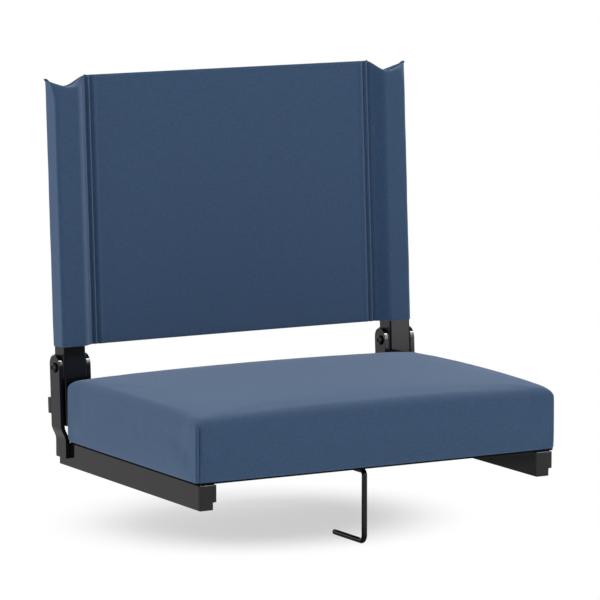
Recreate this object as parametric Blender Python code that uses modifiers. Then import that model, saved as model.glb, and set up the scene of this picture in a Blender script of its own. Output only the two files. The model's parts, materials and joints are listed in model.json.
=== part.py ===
"""Folding stadium chair: a padded seat on two rails, a fabric sling back that folds forward, and a bench hook.

Metres, +Z up, -Y to the front. Left and right are as seen from the front, with +X to the right.
The pieces are laid out from the rails: y is measured back from the rails' front ends, z up from their undersides.
The whole chair is then set on the middle of its own box, so that the world's origin is on the floor under it.
"""

import math

import bmesh
import bpy
import numpy as np
from mathutils import Matrix, Vector

# Rails
RAIL_SPREAD = 0.4318
RAIL_LENGTH = 0.327
RAIL_WIDTH = 0.020
RAIL_HEIGHT = 0.0268
RAIL_FOOT_WIDTH = 0.016
RAIL_LEDGE_HEIGHT = 0.0081
RAIL_WALL = 0.0016
RAIL_CORNER = 0.0008

# Plugs in the ends of rails and uprights
PLUG_HEAD = 0.002
PLUG_DEPTH = 0.012

# Backrest hinge
LEAN = math.radians(3.1)
PIVOT_HEIGHT = 0.1083
PIVOT_SETBACK = 0.0083
PLATE_THICKNESS = 0.005
PLATE_FOOT_DEPTH = 0.0242
PLATE_FOOT_CLEARANCE = 0.0014
PLATE_FRONT_REACH = 0.0109
PLATE_OVER_PIVOT = 0.0137
PLATE_CORNER = 0.002
JOGGLE_ABOVE_RAIL = 0.0022
JOGGLE_HEIGHT = 0.015
SPACER_THICKNESS = 0.0007
SPACER_BELOW_PIVOT = 0.013
BOLT_DIAMETER = 0.008
BOLT_TIP_DIAMETER = 0.005
BOLT_HEAD_DIAMETER = 0.011
BOLT_HEAD_HEIGHT = 0.0027
BOLT_SOCKET_DIAMETER = 0.0046
BOLT_SOCKET_DEPTH = 0.0010
BOLT_TIP_LENGTH = 0.0010
BUSH_WALL = 0.0014

# Uprights and the bar that stops them
UPRIGHT_WIDTH = 0.0262
UPRIGHT_DEPTH = 0.0246
UPRIGHT_WALL = 0.0016
UPRIGHT_CORNER = 0.003
UPRIGHT_RISE = 0.292
UPRIGHT_DROP = 0.064
STOP_BAR_HEIGHT = 0.0178
STOP_BAR_THICKNESS = 0.007
STOP_BAR_BELOW_PIVOT = 0.0425
STOP_BAR_CORNER = 0.0012
STOP_SCREW_SPACING = 0.012

# Back sling
SLING_BOTTOM = 0.0226
SLING_TOP = 0.3178
SLEEVE_THICKNESS = 0.0011
SLEEVE_CORNER = 0.005
SEAM_TO_UPRIGHT = 0.0148
STITCH_SPACING = 0.006
SEAM_THICKNESS = 0.002
SEAM_RIDGE = 0.0008
PANEL_THICKNESS = 0.0026
PANEL_BOW = 0.002
TIP_FLARE = 0.0054
TIP_DROP = 0.0031
TOP_DIP = 0.0102
TOP_DIP_FROM_TIP = 0.46
TOP_SEAM_THICKNESS = 0.003
TOP_SEAM_SETBACK = 0.0045

# Seat cushion
CUSHION_OVERHANG = 0.0031
CUSHION_SETBACK = 0.0012
CUSHION_HEIGHT = 0.0696
CUSHION_ARCH = 0.0028
CUSHION_CROWN = 0.0057
CUSHION_BULGE = 0.002
CUSHION_EDGE = 0.009
CUSHION_CORNER = 0.006
COVER_THICKNESS = 0.0015
HEM_WIDTH = 0.040
HEM_CORNER = 0.012
BOARD_THICKNESS = 0.009
BOARD_INSET = 0.009
BOARD_CORNER = 0.015
DUST_COVER_THICKNESS = 0.0006

# Straps under the seat
STRAP_WIDTH = 0.025
STRAP_THICKNESS = 0.004
FRONT_STRAP_SETBACK = 0.125
REAR_STRAP_INSET = 0.092
SEAT_SCREW_SPREAD = 0.240
SEAT_SCREW_BITE = 0.006

# Bench hook
HOOK_ROD = 0.006
HOOK_SETBACK = 0.032
HOOK_DROP = 0.0766
HOOK_FOOT = 0.066
HOOK_BEND = 0.007
HOOK_EASE = 0.0005
CLIP_THICKNESS = 0.0015
CLIP_FLANGE = 0.010
COLLAR_LENGTH = 0.005
COLLAR_WALL = 0.0026

# Fasteners
SCREW_DIAMETER = 0.004
SCREW_HEAD_DIAMETER = 0.008
SCREW_HEAD_HEIGHT = 0.0024
RIVET_DIAMETER = 0.0032
RIVET_HEAD_DIAMETER = 0.006
RIVET_HEAD_HEIGHT = 0.0013

# Gap between pieces that touch, and between a bore and what is in it
FIT = 0.0003

# Facets
WELD = 0.000005
ARC_STEPS = 4
TURN_STEPS = 24
FASTENER_STEPS = 14

# Places that follow from the sizes above
RAIL_CENTRE = (RAIL_SPREAD - RAIL_WIDTH) / 2
PIVOT_Y = RAIL_LENGTH - PIVOT_SETBACK
PLATE_REAR_REACH = UPRIGHT_DEPTH / 2
PLATE_FOOT_INNER = RAIL_WIDTH / 2 + FIT
PLATE_INNER = UPRIGHT_WIDTH / 2 + SPACER_THICKNESS + 2 * FIT
PLATE_OUTER = PLATE_INNER + PLATE_THICKNESS
HINGE_SPREAD = 2 * (RAIL_CENTRE + PLATE_OUTER)
PLATE_FOOT_REAR = RAIL_LENGTH - PLUG_HEAD
PLATE_FOOT_FRONT = PLATE_FOOT_REAR - PLATE_FOOT_DEPTH
BUSH_OUTER = BOLT_DIAMETER / 2 + FIT + BUSH_WALL
COVER_FLOOR = RAIL_HEIGHT + FIT
BOARD_FLOOR = COVER_FLOOR + COVER_THICKNESS + FIT
BOARD_TOP = BOARD_FLOOR + BOARD_THICKNESS
CUSHION_WIDTH = RAIL_SPREAD + 2 * CUSHION_OVERHANG
CUSHION_FRONT = CUSHION_SETBACK
CUSHION_REAR = PLATE_FOOT_FRONT - FIT
STRAP_TOP = RAIL_HEIGHT - FIT
STRAP_BOTTOM = STRAP_TOP - STRAP_THICKNESS
REAR_STRAP_SETBACK = RAIL_LENGTH - REAR_STRAP_INSET
STRAP_SETBACKS = (FRONT_STRAP_SETBACK, REAR_STRAP_SETBACK)
ARM_HEIGHT = STRAP_BOTTOM - HOOK_EASE - HOOK_ROD / 2
CLIP_SPREAD = HOOK_ROD + 2 * (FIT + CLIP_THICKNESS) + CLIP_FLANGE

# Turns that lay a flat outline in a plane: its own axes become the axes named
FRONT_PLANE = Matrix(((1, 0, 0, 0), (0, 0, -1, 0), (0, 1, 0, 0), (0, 0, 0, 1)))
SIDE_PLANE = Matrix(((0, 0, 1, 0), (1, 0, 0, 0), (0, 1, 0, 0), (0, 0, 0, 1)))
TOP_PLANE = Matrix.Identity(4)

# Turns that point a turned piece's head
HEAD_RIGHT = (0, math.pi / 2, 0)
HEAD_LEFT = (0, -math.pi / 2, 0)
HEAD_DOWN = (math.pi, 0, 0)
HEAD_REAR = (-math.pi / 2, 0, 0)

SIDES = (("left", -1), ("right", 1))


def clear_scene():
    """Remove every object of the file."""
    for thing in list(bpy.data.objects):
        bpy.data.objects.remove(thing, do_unlink=True)


def new_collection(name):
    """A collection linked to the scene."""
    group = bpy.data.collections.new(name)
    bpy.context.scene.collection.children.link(group)
    return group


def new_finish(name, colour, roughness, metallic):
    """A Principled material."""
    finish = bpy.data.materials.new(name)
    finish.use_nodes = True
    shader = finish.node_tree.nodes["Principled BSDF"]
    shader.inputs["Base Color"].default_value = (*colour, 1.0)
    shader.inputs["Roughness"].default_value = roughness
    shader.inputs["Metallic"].default_value = metallic
    finish.diffuse_color = (*colour, 1.0)
    return finish


clear_scene()
PARTS = new_collection("stadium_chair")
CUTTERS = new_collection("cutters")

FRAME_BLACK = new_finish("frame_black", (0.022, 0.022, 0.023), 0.38, 0.3)
PLUG_BLACK = new_finish("plug_black", (0.030, 0.030, 0.031), 0.45, 0.0)
NYLON_BLACK = new_finish("nylon_black", (0.012, 0.012, 0.012), 0.55, 0.0)
BOLT_BLACK = new_finish("bolt_black", (0.035, 0.035, 0.037), 0.32, 0.7)
ZINC = new_finish("zinc", (0.55, 0.56, 0.58), 0.35, 1.0)
SEAT_CLOTH = new_finish("seat_cloth", (0.050, 0.085, 0.145), 0.85, 0.0)
BACK_CLOTH = new_finish("back_cloth", (0.040, 0.068, 0.120), 0.85, 0.0)
LINING = new_finish("lining", (0.015, 0.015, 0.016), 0.95, 0.0)
PLYWOOD = new_finish("plywood", (0.48, 0.33, 0.19), 0.70, 0.0)
FOAM = new_finish("foam", (0.80, 0.74, 0.55), 0.95, 0.0)


def new_frame(name, parent=None, location=(0, 0, 0), rotation=(0, 0, 0)):
    """An empty that carries other objects."""
    frame = bpy.data.objects.new(name, None)
    frame.parent = parent
    frame.location = location
    frame.rotation_euler = rotation
    PARTS.objects.link(frame)
    return frame


CHAIR = new_frame("chair")
HINGE = new_frame("hinge", CHAIR, (0, PIVOT_Y, PIVOT_HEIGHT), (-LEAN, 0, 0))
BACKREST = new_frame("backrest", CHAIR, (0, PIVOT_Y, PIVOT_HEIGHT), (-LEAN, 0, 0))
HOOK = new_frame("hook", CHAIR, (0, HOOK_SETBACK, ARM_HEIGHT))


def new_part(name, mesh, finish, parent=CHAIR, location=(0, 0, 0), rotation=(0, 0, 0)):
    """A named piece of the chair."""
    mesh.name = name
    mesh.materials.clear()
    mesh.materials.append(finish)
    piece = bpy.data.objects.new(name, mesh)
    piece.parent = parent
    piece.location = location
    piece.rotation_euler = rotation
    PARTS.objects.link(piece)
    return piece


def new_cutter(name, mesh, parent=CHAIR):
    """A tool for Booleans, which isn't part of the chair."""
    cutter = bpy.data.objects.new(name, mesh)
    cutter.parent = parent
    cutter.hide_render = True
    cutter.display_type = "WIRE"
    CUTTERS.objects.link(cutter)
    return cutter


def combine(piece, cutter, operation="DIFFERENCE"):
    """Cut the piece with a cutter, or join or intersect the two."""
    modifier = piece.modifiers.new(cutter.name, "BOOLEAN")
    modifier.operation = operation
    modifier.solver = "EXACT"
    modifier.object = cutter


def close_mesh(mesh):
    """Weld a mesh's loose caps to its sides and turn its faces out."""
    shape = bmesh.new()
    shape.from_mesh(mesh)
    bmesh.ops.remove_doubles(shape, verts=shape.verts, dist=WELD)
    bmesh.ops.recalc_face_normals(shape, faces=shape.faces)
    shape.to_mesh(mesh)
    shape.free()
    return mesh


def mesh_of_curve(curve):
    """The closed mesh of a curve, which is removed."""
    drawing = bpy.data.objects.new("drawing", curve)
    bpy.context.scene.collection.objects.link(drawing)
    graph = bpy.context.evaluated_depsgraph_get()
    mesh = bpy.data.meshes.new_from_object(drawing.evaluated_get(graph))
    bpy.data.objects.remove(drawing, do_unlink=True)
    return close_mesh(mesh)


def add_spline(curve, points, cyclic):
    """Add straight runs through points, given in two or three axes, to a curve."""
    spline = curve.splines.new("POLY")
    spline.points.add(len(points) - 1)
    for knot, point in zip(spline.points, points):
        knot.co = (*Vector(point).to_3d(), 1.0)
    spline.use_cyclic_u = cyclic


def slab(outlines, thickness, plane, middle=0.0):
    """Solid of a flat outline, the later outlines being holes, its thickness centred on a place along its normal."""
    curve = bpy.data.curves.new("outline", "CURVE")
    curve.dimensions = "2D"
    curve.fill_mode = "BOTH"
    curve.extrude = thickness / 2
    for outline in outlines:
        add_spline(curve, outline, cyclic=True)
    mesh = mesh_of_curve(curve)
    mesh.transform(plane @ Matrix.Translation((0, 0, middle)))
    return mesh


def rounded(corners, radius, steps=ARC_STEPS):
    """Outline whose corners are arcs. A corner may name its own radius as a third number."""
    outline = []
    count = len(corners)
    for index, corner in enumerate(corners):
        here = Vector(corner[:2])
        bend = corner[2] if len(corner) == 3 else radius
        to_last = (Vector(corners[index - 1][:2]) - here).normalized()
        to_next = (Vector(corners[(index + 1) % count][:2]) - here).normalized()
        if bend == 0:
            outline.append(tuple(here))
            continue
        half = to_last.angle(to_next) / 2
        centre = here + (to_last + to_next).normalized() * bend / math.sin(half)
        start = here + to_last * bend / math.tan(half) - centre
        end = here + to_next * bend / math.tan(half) - centre
        sweep = start.angle_signed(end)
        for step in range(steps + 1):
            turn = Matrix.Rotation(-sweep * step / steps, 2)
            outline.append(tuple(centre + turn @ start))
    return outline


def box_corners(width, height, centre=(0, 0)):
    """Corners of a rectangle, anticlockwise."""
    a, b = width / 2, height / 2
    x, y = centre
    return [(x - a, y - b), (x + a, y - b), (x + a, y + b), (x - a, y + b)]


def inset(corners, distance):
    """Corners of an anticlockwise outline moved inwards by a distance."""
    moved = []
    count = len(corners)
    for index, corner in enumerate(corners):
        here = Vector(corner)
        before = (here - Vector(corners[index - 1])).normalized().orthogonal()
        after = (Vector(corners[(index + 1) % count]) - here).normalized().orthogonal()
        moved.append(tuple(here + (before + after) * distance / (1 + before.dot(after))))
    return moved


def turned(name, profile, finish, parent, location, rotation, steps=FASTENER_STEPS):
    """Turned piece from (radius, height) points that run down its outer side, closed on itself if it has a bore."""
    count = len(profile)
    edges = [(index, index + 1) for index in range(count - 1)]
    if profile[0][0] > 0:
        edges.append((count - 1, 0))
    mesh = bpy.data.meshes.new(name)
    mesh.from_pydata([(radius, 0, height) for radius, height in profile], edges, [])
    piece = new_part(name, mesh, finish, parent, location, rotation)
    screw = piece.modifiers.new("turn", "SCREW")
    screw.steps = steps
    screw.render_steps = steps
    screw.use_merge_vertices = True
    screw.merge_threshold = WELD
    return piece


def ring_profile(inner, outer, length):
    """Profile of a plain ring, centred on its length."""
    return [(outer, length / 2), (outer, -length / 2), (inner, -length / 2), (inner, length / 2)]


def pan_head_profile(diameter, head_diameter, head_height, shank):
    """Profile of a screw or rivet, its head on the plane z = 0 and its shank below it."""
    edge = head_diameter / 2
    return [
        (0, head_height),
        (edge * 0.6, head_height * 0.9),
        (edge * 0.9, head_height * 0.55),
        (edge, 0),
        (diameter / 2, 0),
        (diameter / 2, -shank),
        (0, -shank),
    ]


def bores(name, radius, length, places, rotation, parent=CHAIR, segments=FASTENER_STEPS):
    """Cutter of equal round bores, one centred on each place."""
    shape = bmesh.new()
    for place in places:
        turn = Matrix.Rotation(rotation[0], 4, "X") @ Matrix.Rotation(rotation[1], 4, "Y")
        bmesh.ops.create_cone(
            shape,
            cap_ends=True,
            segments=segments,
            radius1=radius,
            radius2=radius,
            depth=length,
            matrix=Matrix.Translation(place) @ turn,
        )
    mesh = bpy.data.meshes.new(name)
    shape.to_mesh(mesh)
    shape.free()
    return new_cutter(name, mesh, parent)


PIVOT_BORE = bores(
    "pivot_bore", BOLT_DIAMETER / 2 + FIT, HINGE_SPREAD * 1.1, [(0, 0, 0)], HEAD_RIGHT, HINGE, TURN_STEPS
)
BUSH_BORE = bores(
    "bush_bore", BUSH_OUTER + FIT, HINGE_SPREAD * 1.1, [(0, 0, 0)], HEAD_RIGHT, BACKREST, TURN_STEPS
)


def rail_corners():
    """Section of a rail about its own centre line: a box with a ledge along its right side."""
    left = -RAIL_WIDTH / 2
    return [
        (left, 0),
        (left + RAIL_FOOT_WIDTH, 0),
        (left + RAIL_FOOT_WIDTH, RAIL_LEDGE_HEIGHT),
        (left + RAIL_WIDTH, RAIL_LEDGE_HEIGHT),
        (left + RAIL_WIDTH, RAIL_HEIGHT),
        (left, RAIL_HEIGHT),
    ]


def build_rails():
    """Hollow rails of one section, both the same hand, with a plug in each end."""
    section = rail_corners()
    outer = rounded(section, RAIL_CORNER, 2)
    hollow = inset(section, RAIL_WALL)
    spigot = inset(section, RAIL_WALL + FIT)
    tube_length = RAIL_LENGTH - 2 * PLUG_HEAD
    for side, sign in SIDES:
        place = (sign * RAIL_CENTRE, 0, 0)
        tube = slab([outer, hollow], tube_length - 2 * FIT, FRONT_PLANE, -RAIL_LENGTH / 2)
        new_part(f"{side}_rail", tube, FRAME_BLACK, location=place)
        for end, face, way in (("front", 0, 1), ("rear", RAIL_LENGTH, -1)):
            head = slab([outer], PLUG_HEAD, FRONT_PLANE, -(face + way * PLUG_HEAD / 2))
            plug = new_part(f"rail_plug_{end}_{side}", head, PLUG_BLACK, location=place)
            reach = PLUG_DEPTH + PLUG_HEAD / 2
            middle = face + way * (PLUG_HEAD / 2 + reach / 2)
            body = new_cutter(f"rail_spigot_{end}_{side}", slab([spigot], reach, FRONT_PLANE, -middle))
            body.location = place
            combine(plug, body, "UNION")


def leaned(across, along):
    """Place in the side view, back from the rails' front ends and up, of a point in the backrest's own axes."""
    y = PIVOT_Y + across * math.cos(LEAN) + along * math.sin(LEAN)
    z = PIVOT_HEIGHT - across * math.sin(LEAN) + along * math.cos(LEAN)
    return y, z


def plate_side_outline():
    """Side view of a hinge plate: an upright foot on the rail, then a leaning strap with a round top."""
    joggle_bottom = RAIL_HEIGHT + JOGGLE_ABOVE_RAIL
    joggle_top = joggle_bottom + JOGGLE_HEIGHT
    below_pivot = (joggle_top - PIVOT_HEIGHT) / math.cos(LEAN)
    radius = (PLATE_FRONT_REACH + PLATE_REAR_REACH) / 2
    middle = (PLATE_REAR_REACH - PLATE_FRONT_REACH) / 2
    shoulder = PLATE_OVER_PIVOT - radius
    bottom = RAIL_LEDGE_HEIGHT + PLATE_FOOT_CLEARANCE
    foot = rounded(
        [
            (PLATE_FOOT_FRONT, joggle_bottom, 0),
            (PLATE_FOOT_FRONT, bottom),
            (PLATE_FOOT_REAR, bottom),
            (PLATE_FOOT_REAR, joggle_bottom, 0),
        ],
        PLATE_CORNER,
        2,
    )
    outline = foot + [leaned(PLATE_REAR_REACH, below_pivot)]
    for angle in np.linspace(0, math.pi, 4 * ARC_STEPS + 1):
        across = middle + radius * math.cos(angle)
        outline.append(leaned(across, shoulder + radius * math.sin(angle)))
    outline.append(leaned(-PLATE_FRONT_REACH, below_pivot))
    return outline


def build_hinge_plates():
    """Joggled plates on both sides of each rail: a bent strip cut to the plate's side view, and bored."""
    shape = new_cutter("plate_shape", slab([plate_side_outline()], HINGE_SPREAD * 1.1, SIDE_PLANE))
    bend_bottom = RAIL_HEIGHT + JOGGLE_ABOVE_RAIL
    bend_top = bend_bottom + JOGGLE_HEIGHT
    top = PIVOT_HEIGHT + 2 * PLATE_OVER_PIVOT
    foot_outer = PLATE_FOOT_INNER + PLATE_THICKNESS
    strip = [
        (PLATE_FOOT_INNER, 0, 0),
        (foot_outer, 0, 0),
        (foot_outer, bend_bottom),
        (PLATE_OUTER, bend_top),
        (PLATE_OUTER, top, 0),
        (PLATE_INNER, top, 0),
        (PLATE_INNER, bend_top),
        (PLATE_FOOT_INNER, bend_bottom),
    ]
    bent = rounded(strip, PLATE_THICKNESS, 2)
    depth = 2 * PLATE_FOOT_DEPTH
    middle = (PLATE_FOOT_FRONT + PLATE_FOOT_REAR) / 2
    for side, sign in SIDES:
        for face, hand in (("outer", sign), ("inner", -sign)):
            outline = [(hand * across, up) for across, up in bent]
            blank = slab([outline], depth, FRONT_PLANE, -middle)
            name = f"hinge_plate_{side}_{face}"
            plate = new_part(name, blank, FRAME_BLACK, location=(sign * RAIL_CENTRE, 0, 0))
            combine(plate, shape, "INTERSECT")
            combine(plate, PIVOT_BORE)


def build_hinge_spacers():
    """Square-topped pads that fill the gap between each plate and the upright."""
    height = PLATE_OVER_PIVOT + SPACER_BELOW_PIVOT
    depth = PLATE_FRONT_REACH + PLATE_REAR_REACH
    centre = ((PLATE_REAR_REACH - PLATE_FRONT_REACH) / 2, PLATE_OVER_PIVOT - height / 2)
    outline = rounded(box_corners(depth, height, centre), PLATE_CORNER, 2)
    offset = UPRIGHT_WIDTH / 2 + FIT + SPACER_THICKNESS / 2
    for side, sign in SIDES:
        for face, hand in (("outer", sign), ("inner", -sign)):
            pad = slab([outline], SPACER_THICKNESS, SIDE_PLANE)
            place = (sign * RAIL_CENTRE + hand * offset, 0, 0)
            spacer = new_part(f"hinge_spacer_{side}_{face}", pad, NYLON_BLACK, HINGE, place)
            combine(spacer, PIVOT_BORE)


def button_head():
    """Upper profile of a bolt's or nut's domed head, from the floor of its socket to its rim."""
    rim = BOLT_HEAD_DIAMETER / 2
    socket = BOLT_SOCKET_DIAMETER / 2
    return [
        (0, BOLT_HEAD_HEIGHT - BOLT_SOCKET_DEPTH),
        (socket, BOLT_HEAD_HEIGHT - BOLT_SOCKET_DEPTH),
        (socket, BOLT_HEAD_HEIGHT),
        ((socket + rim) / 2, BOLT_HEAD_HEIGHT * 0.93),
        (rim * 0.94, BOLT_HEAD_HEIGHT * 0.62),
        (rim, BOLT_HEAD_HEIGHT * 0.3),
        (rim, 0),
    ]


def build_pivots():
    """A bolt through each pair of plates, and a nut with the same head on its inner end."""
    shank = BOLT_DIAMETER / 2
    tip = BOLT_TIP_DIAMETER / 2
    through = 2 * PLATE_OUTER + FIT
    bolt = button_head() + [
        (shank, 0),
        (shank, -through),
        (tip, -through),
        (tip, -through - BOLT_TIP_LENGTH),
        (0, -through - BOLT_TIP_LENGTH),
    ]
    thread = BOLT_TIP_LENGTH
    nut = button_head() + [(tip + FIT, 0), (tip + FIT, thread), (0, thread)]
    seat = PLATE_OUTER + FIT
    for side, sign in SIDES:
        out, back = (HEAD_RIGHT, HEAD_LEFT) if sign > 0 else (HEAD_LEFT, HEAD_RIGHT)
        outside = (sign * (RAIL_CENTRE + seat), 0, 0)
        inside = (sign * (RAIL_CENTRE - seat), 0, 0)
        turned(f"pivot_bolt_{side}", bolt, BOLT_BLACK, HINGE, outside, out, TURN_STEPS)
        turned(f"pivot_nut_{side}", nut, BOLT_BLACK, HINGE, inside, back, TURN_STEPS)
        bush = ring_profile(shank + FIT, BUSH_OUTER, UPRIGHT_WIDTH)
        centre = (sign * RAIL_CENTRE, 0, 0)
        turned(f"pivot_bush_{side}", bush, NYLON_BLACK, BACKREST, centre, out, TURN_STEPS)


def stop_screw_places():
    """Where the stop bar's screws enter its rear face, in the backrest's axes."""
    rear = UPRIGHT_DEPTH / 2 + FIT + STOP_BAR_THICKNESS
    return [
        (sign * RAIL_CENTRE + step * STOP_SCREW_SPACING / 2, rear, -STOP_BAR_BELOW_PIVOT)
        for _, sign in SIDES
        for step in (-1, 1)
    ]


def build_uprights():
    """Hollow uprights with a plug in each end, bored for the pivot bush and for the stop bar's screws."""
    section = box_corners(UPRIGHT_WIDTH, UPRIGHT_DEPTH)
    outer = rounded(section, UPRIGHT_CORNER)
    hollow = rounded(inset(section, UPRIGHT_WALL), UPRIGHT_CORNER - UPRIGHT_WALL, 2)
    spigot = inset(section, UPRIGHT_CORNER)
    low = -UPRIGHT_DROP + PLUG_HEAD + FIT
    high = UPRIGHT_RISE - PLUG_HEAD - FIT
    screw_bores = bores(
        "stop_screw_bores",
        SCREW_DIAMETER / 2 + FIT,
        2 * (STOP_BAR_THICKNESS + UPRIGHT_WALL + 2 * FIT),
        stop_screw_places(),
        HEAD_REAR,
        BACKREST,
    )
    for side, sign in SIDES:
        place = (sign * RAIL_CENTRE, 0, 0)
        tube = slab([outer, hollow], high - low, TOP_PLANE, (high + low) / 2)
        upright = new_part(f"{side}_upright", tube, FRAME_BLACK, BACKREST, place)
        combine(upright, BUSH_BORE)
        combine(upright, screw_bores)
        for end, face, way in (("bottom", -UPRIGHT_DROP, 1), ("top", UPRIGHT_RISE, -1)):
            head = slab([outer], PLUG_HEAD, TOP_PLANE, face + way * PLUG_HEAD / 2)
            plug = new_part(f"upright_plug_{end}_{side}", head, PLUG_BLACK, BACKREST, place)
            reach = PLUG_DEPTH + PLUG_HEAD / 2
            middle = face + way * (PLUG_HEAD / 2 + reach / 2)
            body = slab([spigot], reach, TOP_PLANE, middle)
            operand = new_cutter(f"upright_spigot_{end}_{side}", body, BACKREST)
            operand.location = place
            combine(plug, operand, "UNION")
    return screw_bores


def build_stop_bar(screw_bores):
    """Flat bar across the rear of both uprights, which meets the plates' rear edges when the back is open."""
    front = UPRIGHT_DEPTH / 2 + FIT
    middle = front + STOP_BAR_THICKNESS / 2
    corners = box_corners(STOP_BAR_THICKNESS, STOP_BAR_HEIGHT, (middle, -STOP_BAR_BELOW_PIVOT))
    blank = slab([rounded(corners, STOP_BAR_CORNER, 2)], HINGE_SPREAD, SIDE_PLANE)
    bar = new_part("stop_bar", blank, FRAME_BLACK, BACKREST)
    combine(bar, screw_bores)
    shank = STOP_BAR_THICKNESS + UPRIGHT_WALL + 2 * FIT
    screw = pan_head_profile(SCREW_DIAMETER, SCREW_HEAD_DIAMETER, SCREW_HEAD_HEIGHT, shank)
    for number, (x, y, z) in enumerate(stop_screw_places(), 1):
        turned(f"stop_screw_{number}", screw, BOLT_BLACK, BACKREST, (x, y + FIT, z), HEAD_REAR)


def sling_section():
    """Front half of the sling's section from its middle to its outer edge, as it wraps the upright and laid flat.

    Each row holds the place across, the depth in front of the panel, and both again at the flat top seam.
    The panel is thin and level. Between the two stitch lines it swells a little. Past them an S curve, a half
    cosine wave, carries the cloth forward onto the upright, whose corners it rounds.
    """
    upright_inner = RAIL_CENTRE - UPRIGHT_WIDTH / 2
    outer = RAIL_CENTRE + UPRIGHT_WIDTH / 2 + FIT + SLEEVE_THICKNESS
    depth = UPRIGHT_DEPTH / 2 + FIT + SLEEVE_THICKNESS
    seam = upright_inner - SEAM_TO_UPRIGHT
    inner_seam = seam - STITCH_SPACING
    panel = PANEL_THICKNESS / 2
    stitch = SEAM_THICKNESS / 2
    rows = [(share * inner_seam, panel) for share in (0, 0.3, 0.6, 0.85, 0.96)]
    rows += [(inner_seam, stitch), ((inner_seam + seam) / 2, stitch + SEAM_RIDGE), (seam, stitch)]
    for share in (0.25, 0.5, 0.75, 1.0):
        rise = (1 - math.cos(math.pi * share)) / 2
        rows.append((seam + share * SEAM_TO_UPRIGHT, stitch + rise * (depth - stitch)))
    rows.append(((upright_inner + outer - SLEEVE_CORNER) / 2, depth))
    for angle in np.linspace(0, math.pi / 2, ARC_STEPS + 1):
        across = outer - SLEEVE_CORNER * (1 - math.sin(angle))
        rows.append((across, depth - SLEEVE_CORNER * (1 - math.cos(angle))))
    across, deep = np.array(rows).T
    bow = PANEL_BOW * np.clip(1 - (across / inner_seam) ** 2, 0, None)
    start = (inner_seam + 3 * seam) / 4
    tip = outer + TIP_FLARE
    flat_across = np.where(across > start, start + (across - start) * (tip - start) / (outer - start), across)
    flat_deep = np.minimum(deep, TOP_SEAM_THICKNESS / 2)
    share = np.clip((flat_across - start) / (tip - start), 0, 1)
    away = 1 - TOP_DIP_FROM_TIP
    dip = np.where(share < away, share / away, (1 - share) / TOP_DIP_FROM_TIP)
    setback = TOP_SEAM_SETBACK * np.sin(dip * math.pi / 2)
    top = SLING_TOP - TIP_DROP * share - TOP_DIP * np.sin(dip * math.pi / 2) ** 1.3
    return across, deep, bow, flat_across, flat_deep, setback, top


def sling_mesh():
    """Loft of the sling: straight up past the uprights, then drawn together into the seam along its top.

    The cloth stays upright as long as it can and then rolls in to the seam like a quarter of a fourth-power
    ellipse. Over each upright the seam lies a little to the rear.
    """
    rows = sling_section()
    sign = np.concatenate([-np.ones(len(rows[0]) - 1), np.ones(len(rows[0]))])
    across, deep, bow, flat_across, flat_deep, setback, top = (np.concatenate([row[:0:-1], row]) for row in rows)
    straight_end = UPRIGHT_RISE + 2 * FIT + SLEEVE_THICKNESS
    levels = [(SLING_BOTTOM, 0), ((SLING_BOTTOM + straight_end) / 2, 0)]
    levels += [(straight_end, share) for share in (0, 0.4, 0.7, 0.86, 0.95, 1.0)]
    verts = []
    for height, share in levels:
        rolled = 1 - (1 - share**4) ** 0.25
        x = sign * (across + rolled * (flat_across - across))
        front = -deep + rolled * (setback - flat_deep + deep)
        rear = deep + rolled * (setback + flat_deep - deep)
        z = height + share * (top - height)
        for face in (front, rear):
            verts.extend(zip(x, bow + face, z))
    count = len(across)
    ring = list(range(count)) + list(range(2 * count - 1, count - 1, -1))
    faces = []
    for level in range(len(levels) - 1):
        base = level * 2 * count
        for here, after in zip(ring, ring[1:] + ring[:1]):
            faces.append((base + here, base + after, base + after + 2 * count, base + here + 2 * count))
    for base in (0, (len(levels) - 1) * 2 * count):
        for index in range(count - 1):
            front, rear = base + index, base + count + index
            faces.append((front, front + 1, rear + 1, rear))
    mesh = bpy.data.meshes.new("back_sling")
    mesh.from_pydata(verts, [], faces)
    return close_mesh(mesh)


def build_sling():
    """One piece of cloth whose two sleeves are pockets over the uprights, open below and closed above."""
    sling = new_part("back_sling", sling_mesh(), BACK_CLOTH, BACKREST)
    section = box_corners(UPRIGHT_WIDTH + 2 * FIT, UPRIGHT_DEPTH + 2 * FIT)
    outline = rounded(section, UPRIGHT_CORNER)
    bottom = 0.0
    top = UPRIGHT_RISE + FIT
    for side, sign in SIDES:
        pocket = new_cutter(f"pocket_{side}", slab([outline], top - bottom, TOP_PLANE, (top + bottom) / 2), BACKREST)
        pocket.location = (sign * RAIL_CENTRE, 0, 0)
        combine(sling, pocket)


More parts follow.
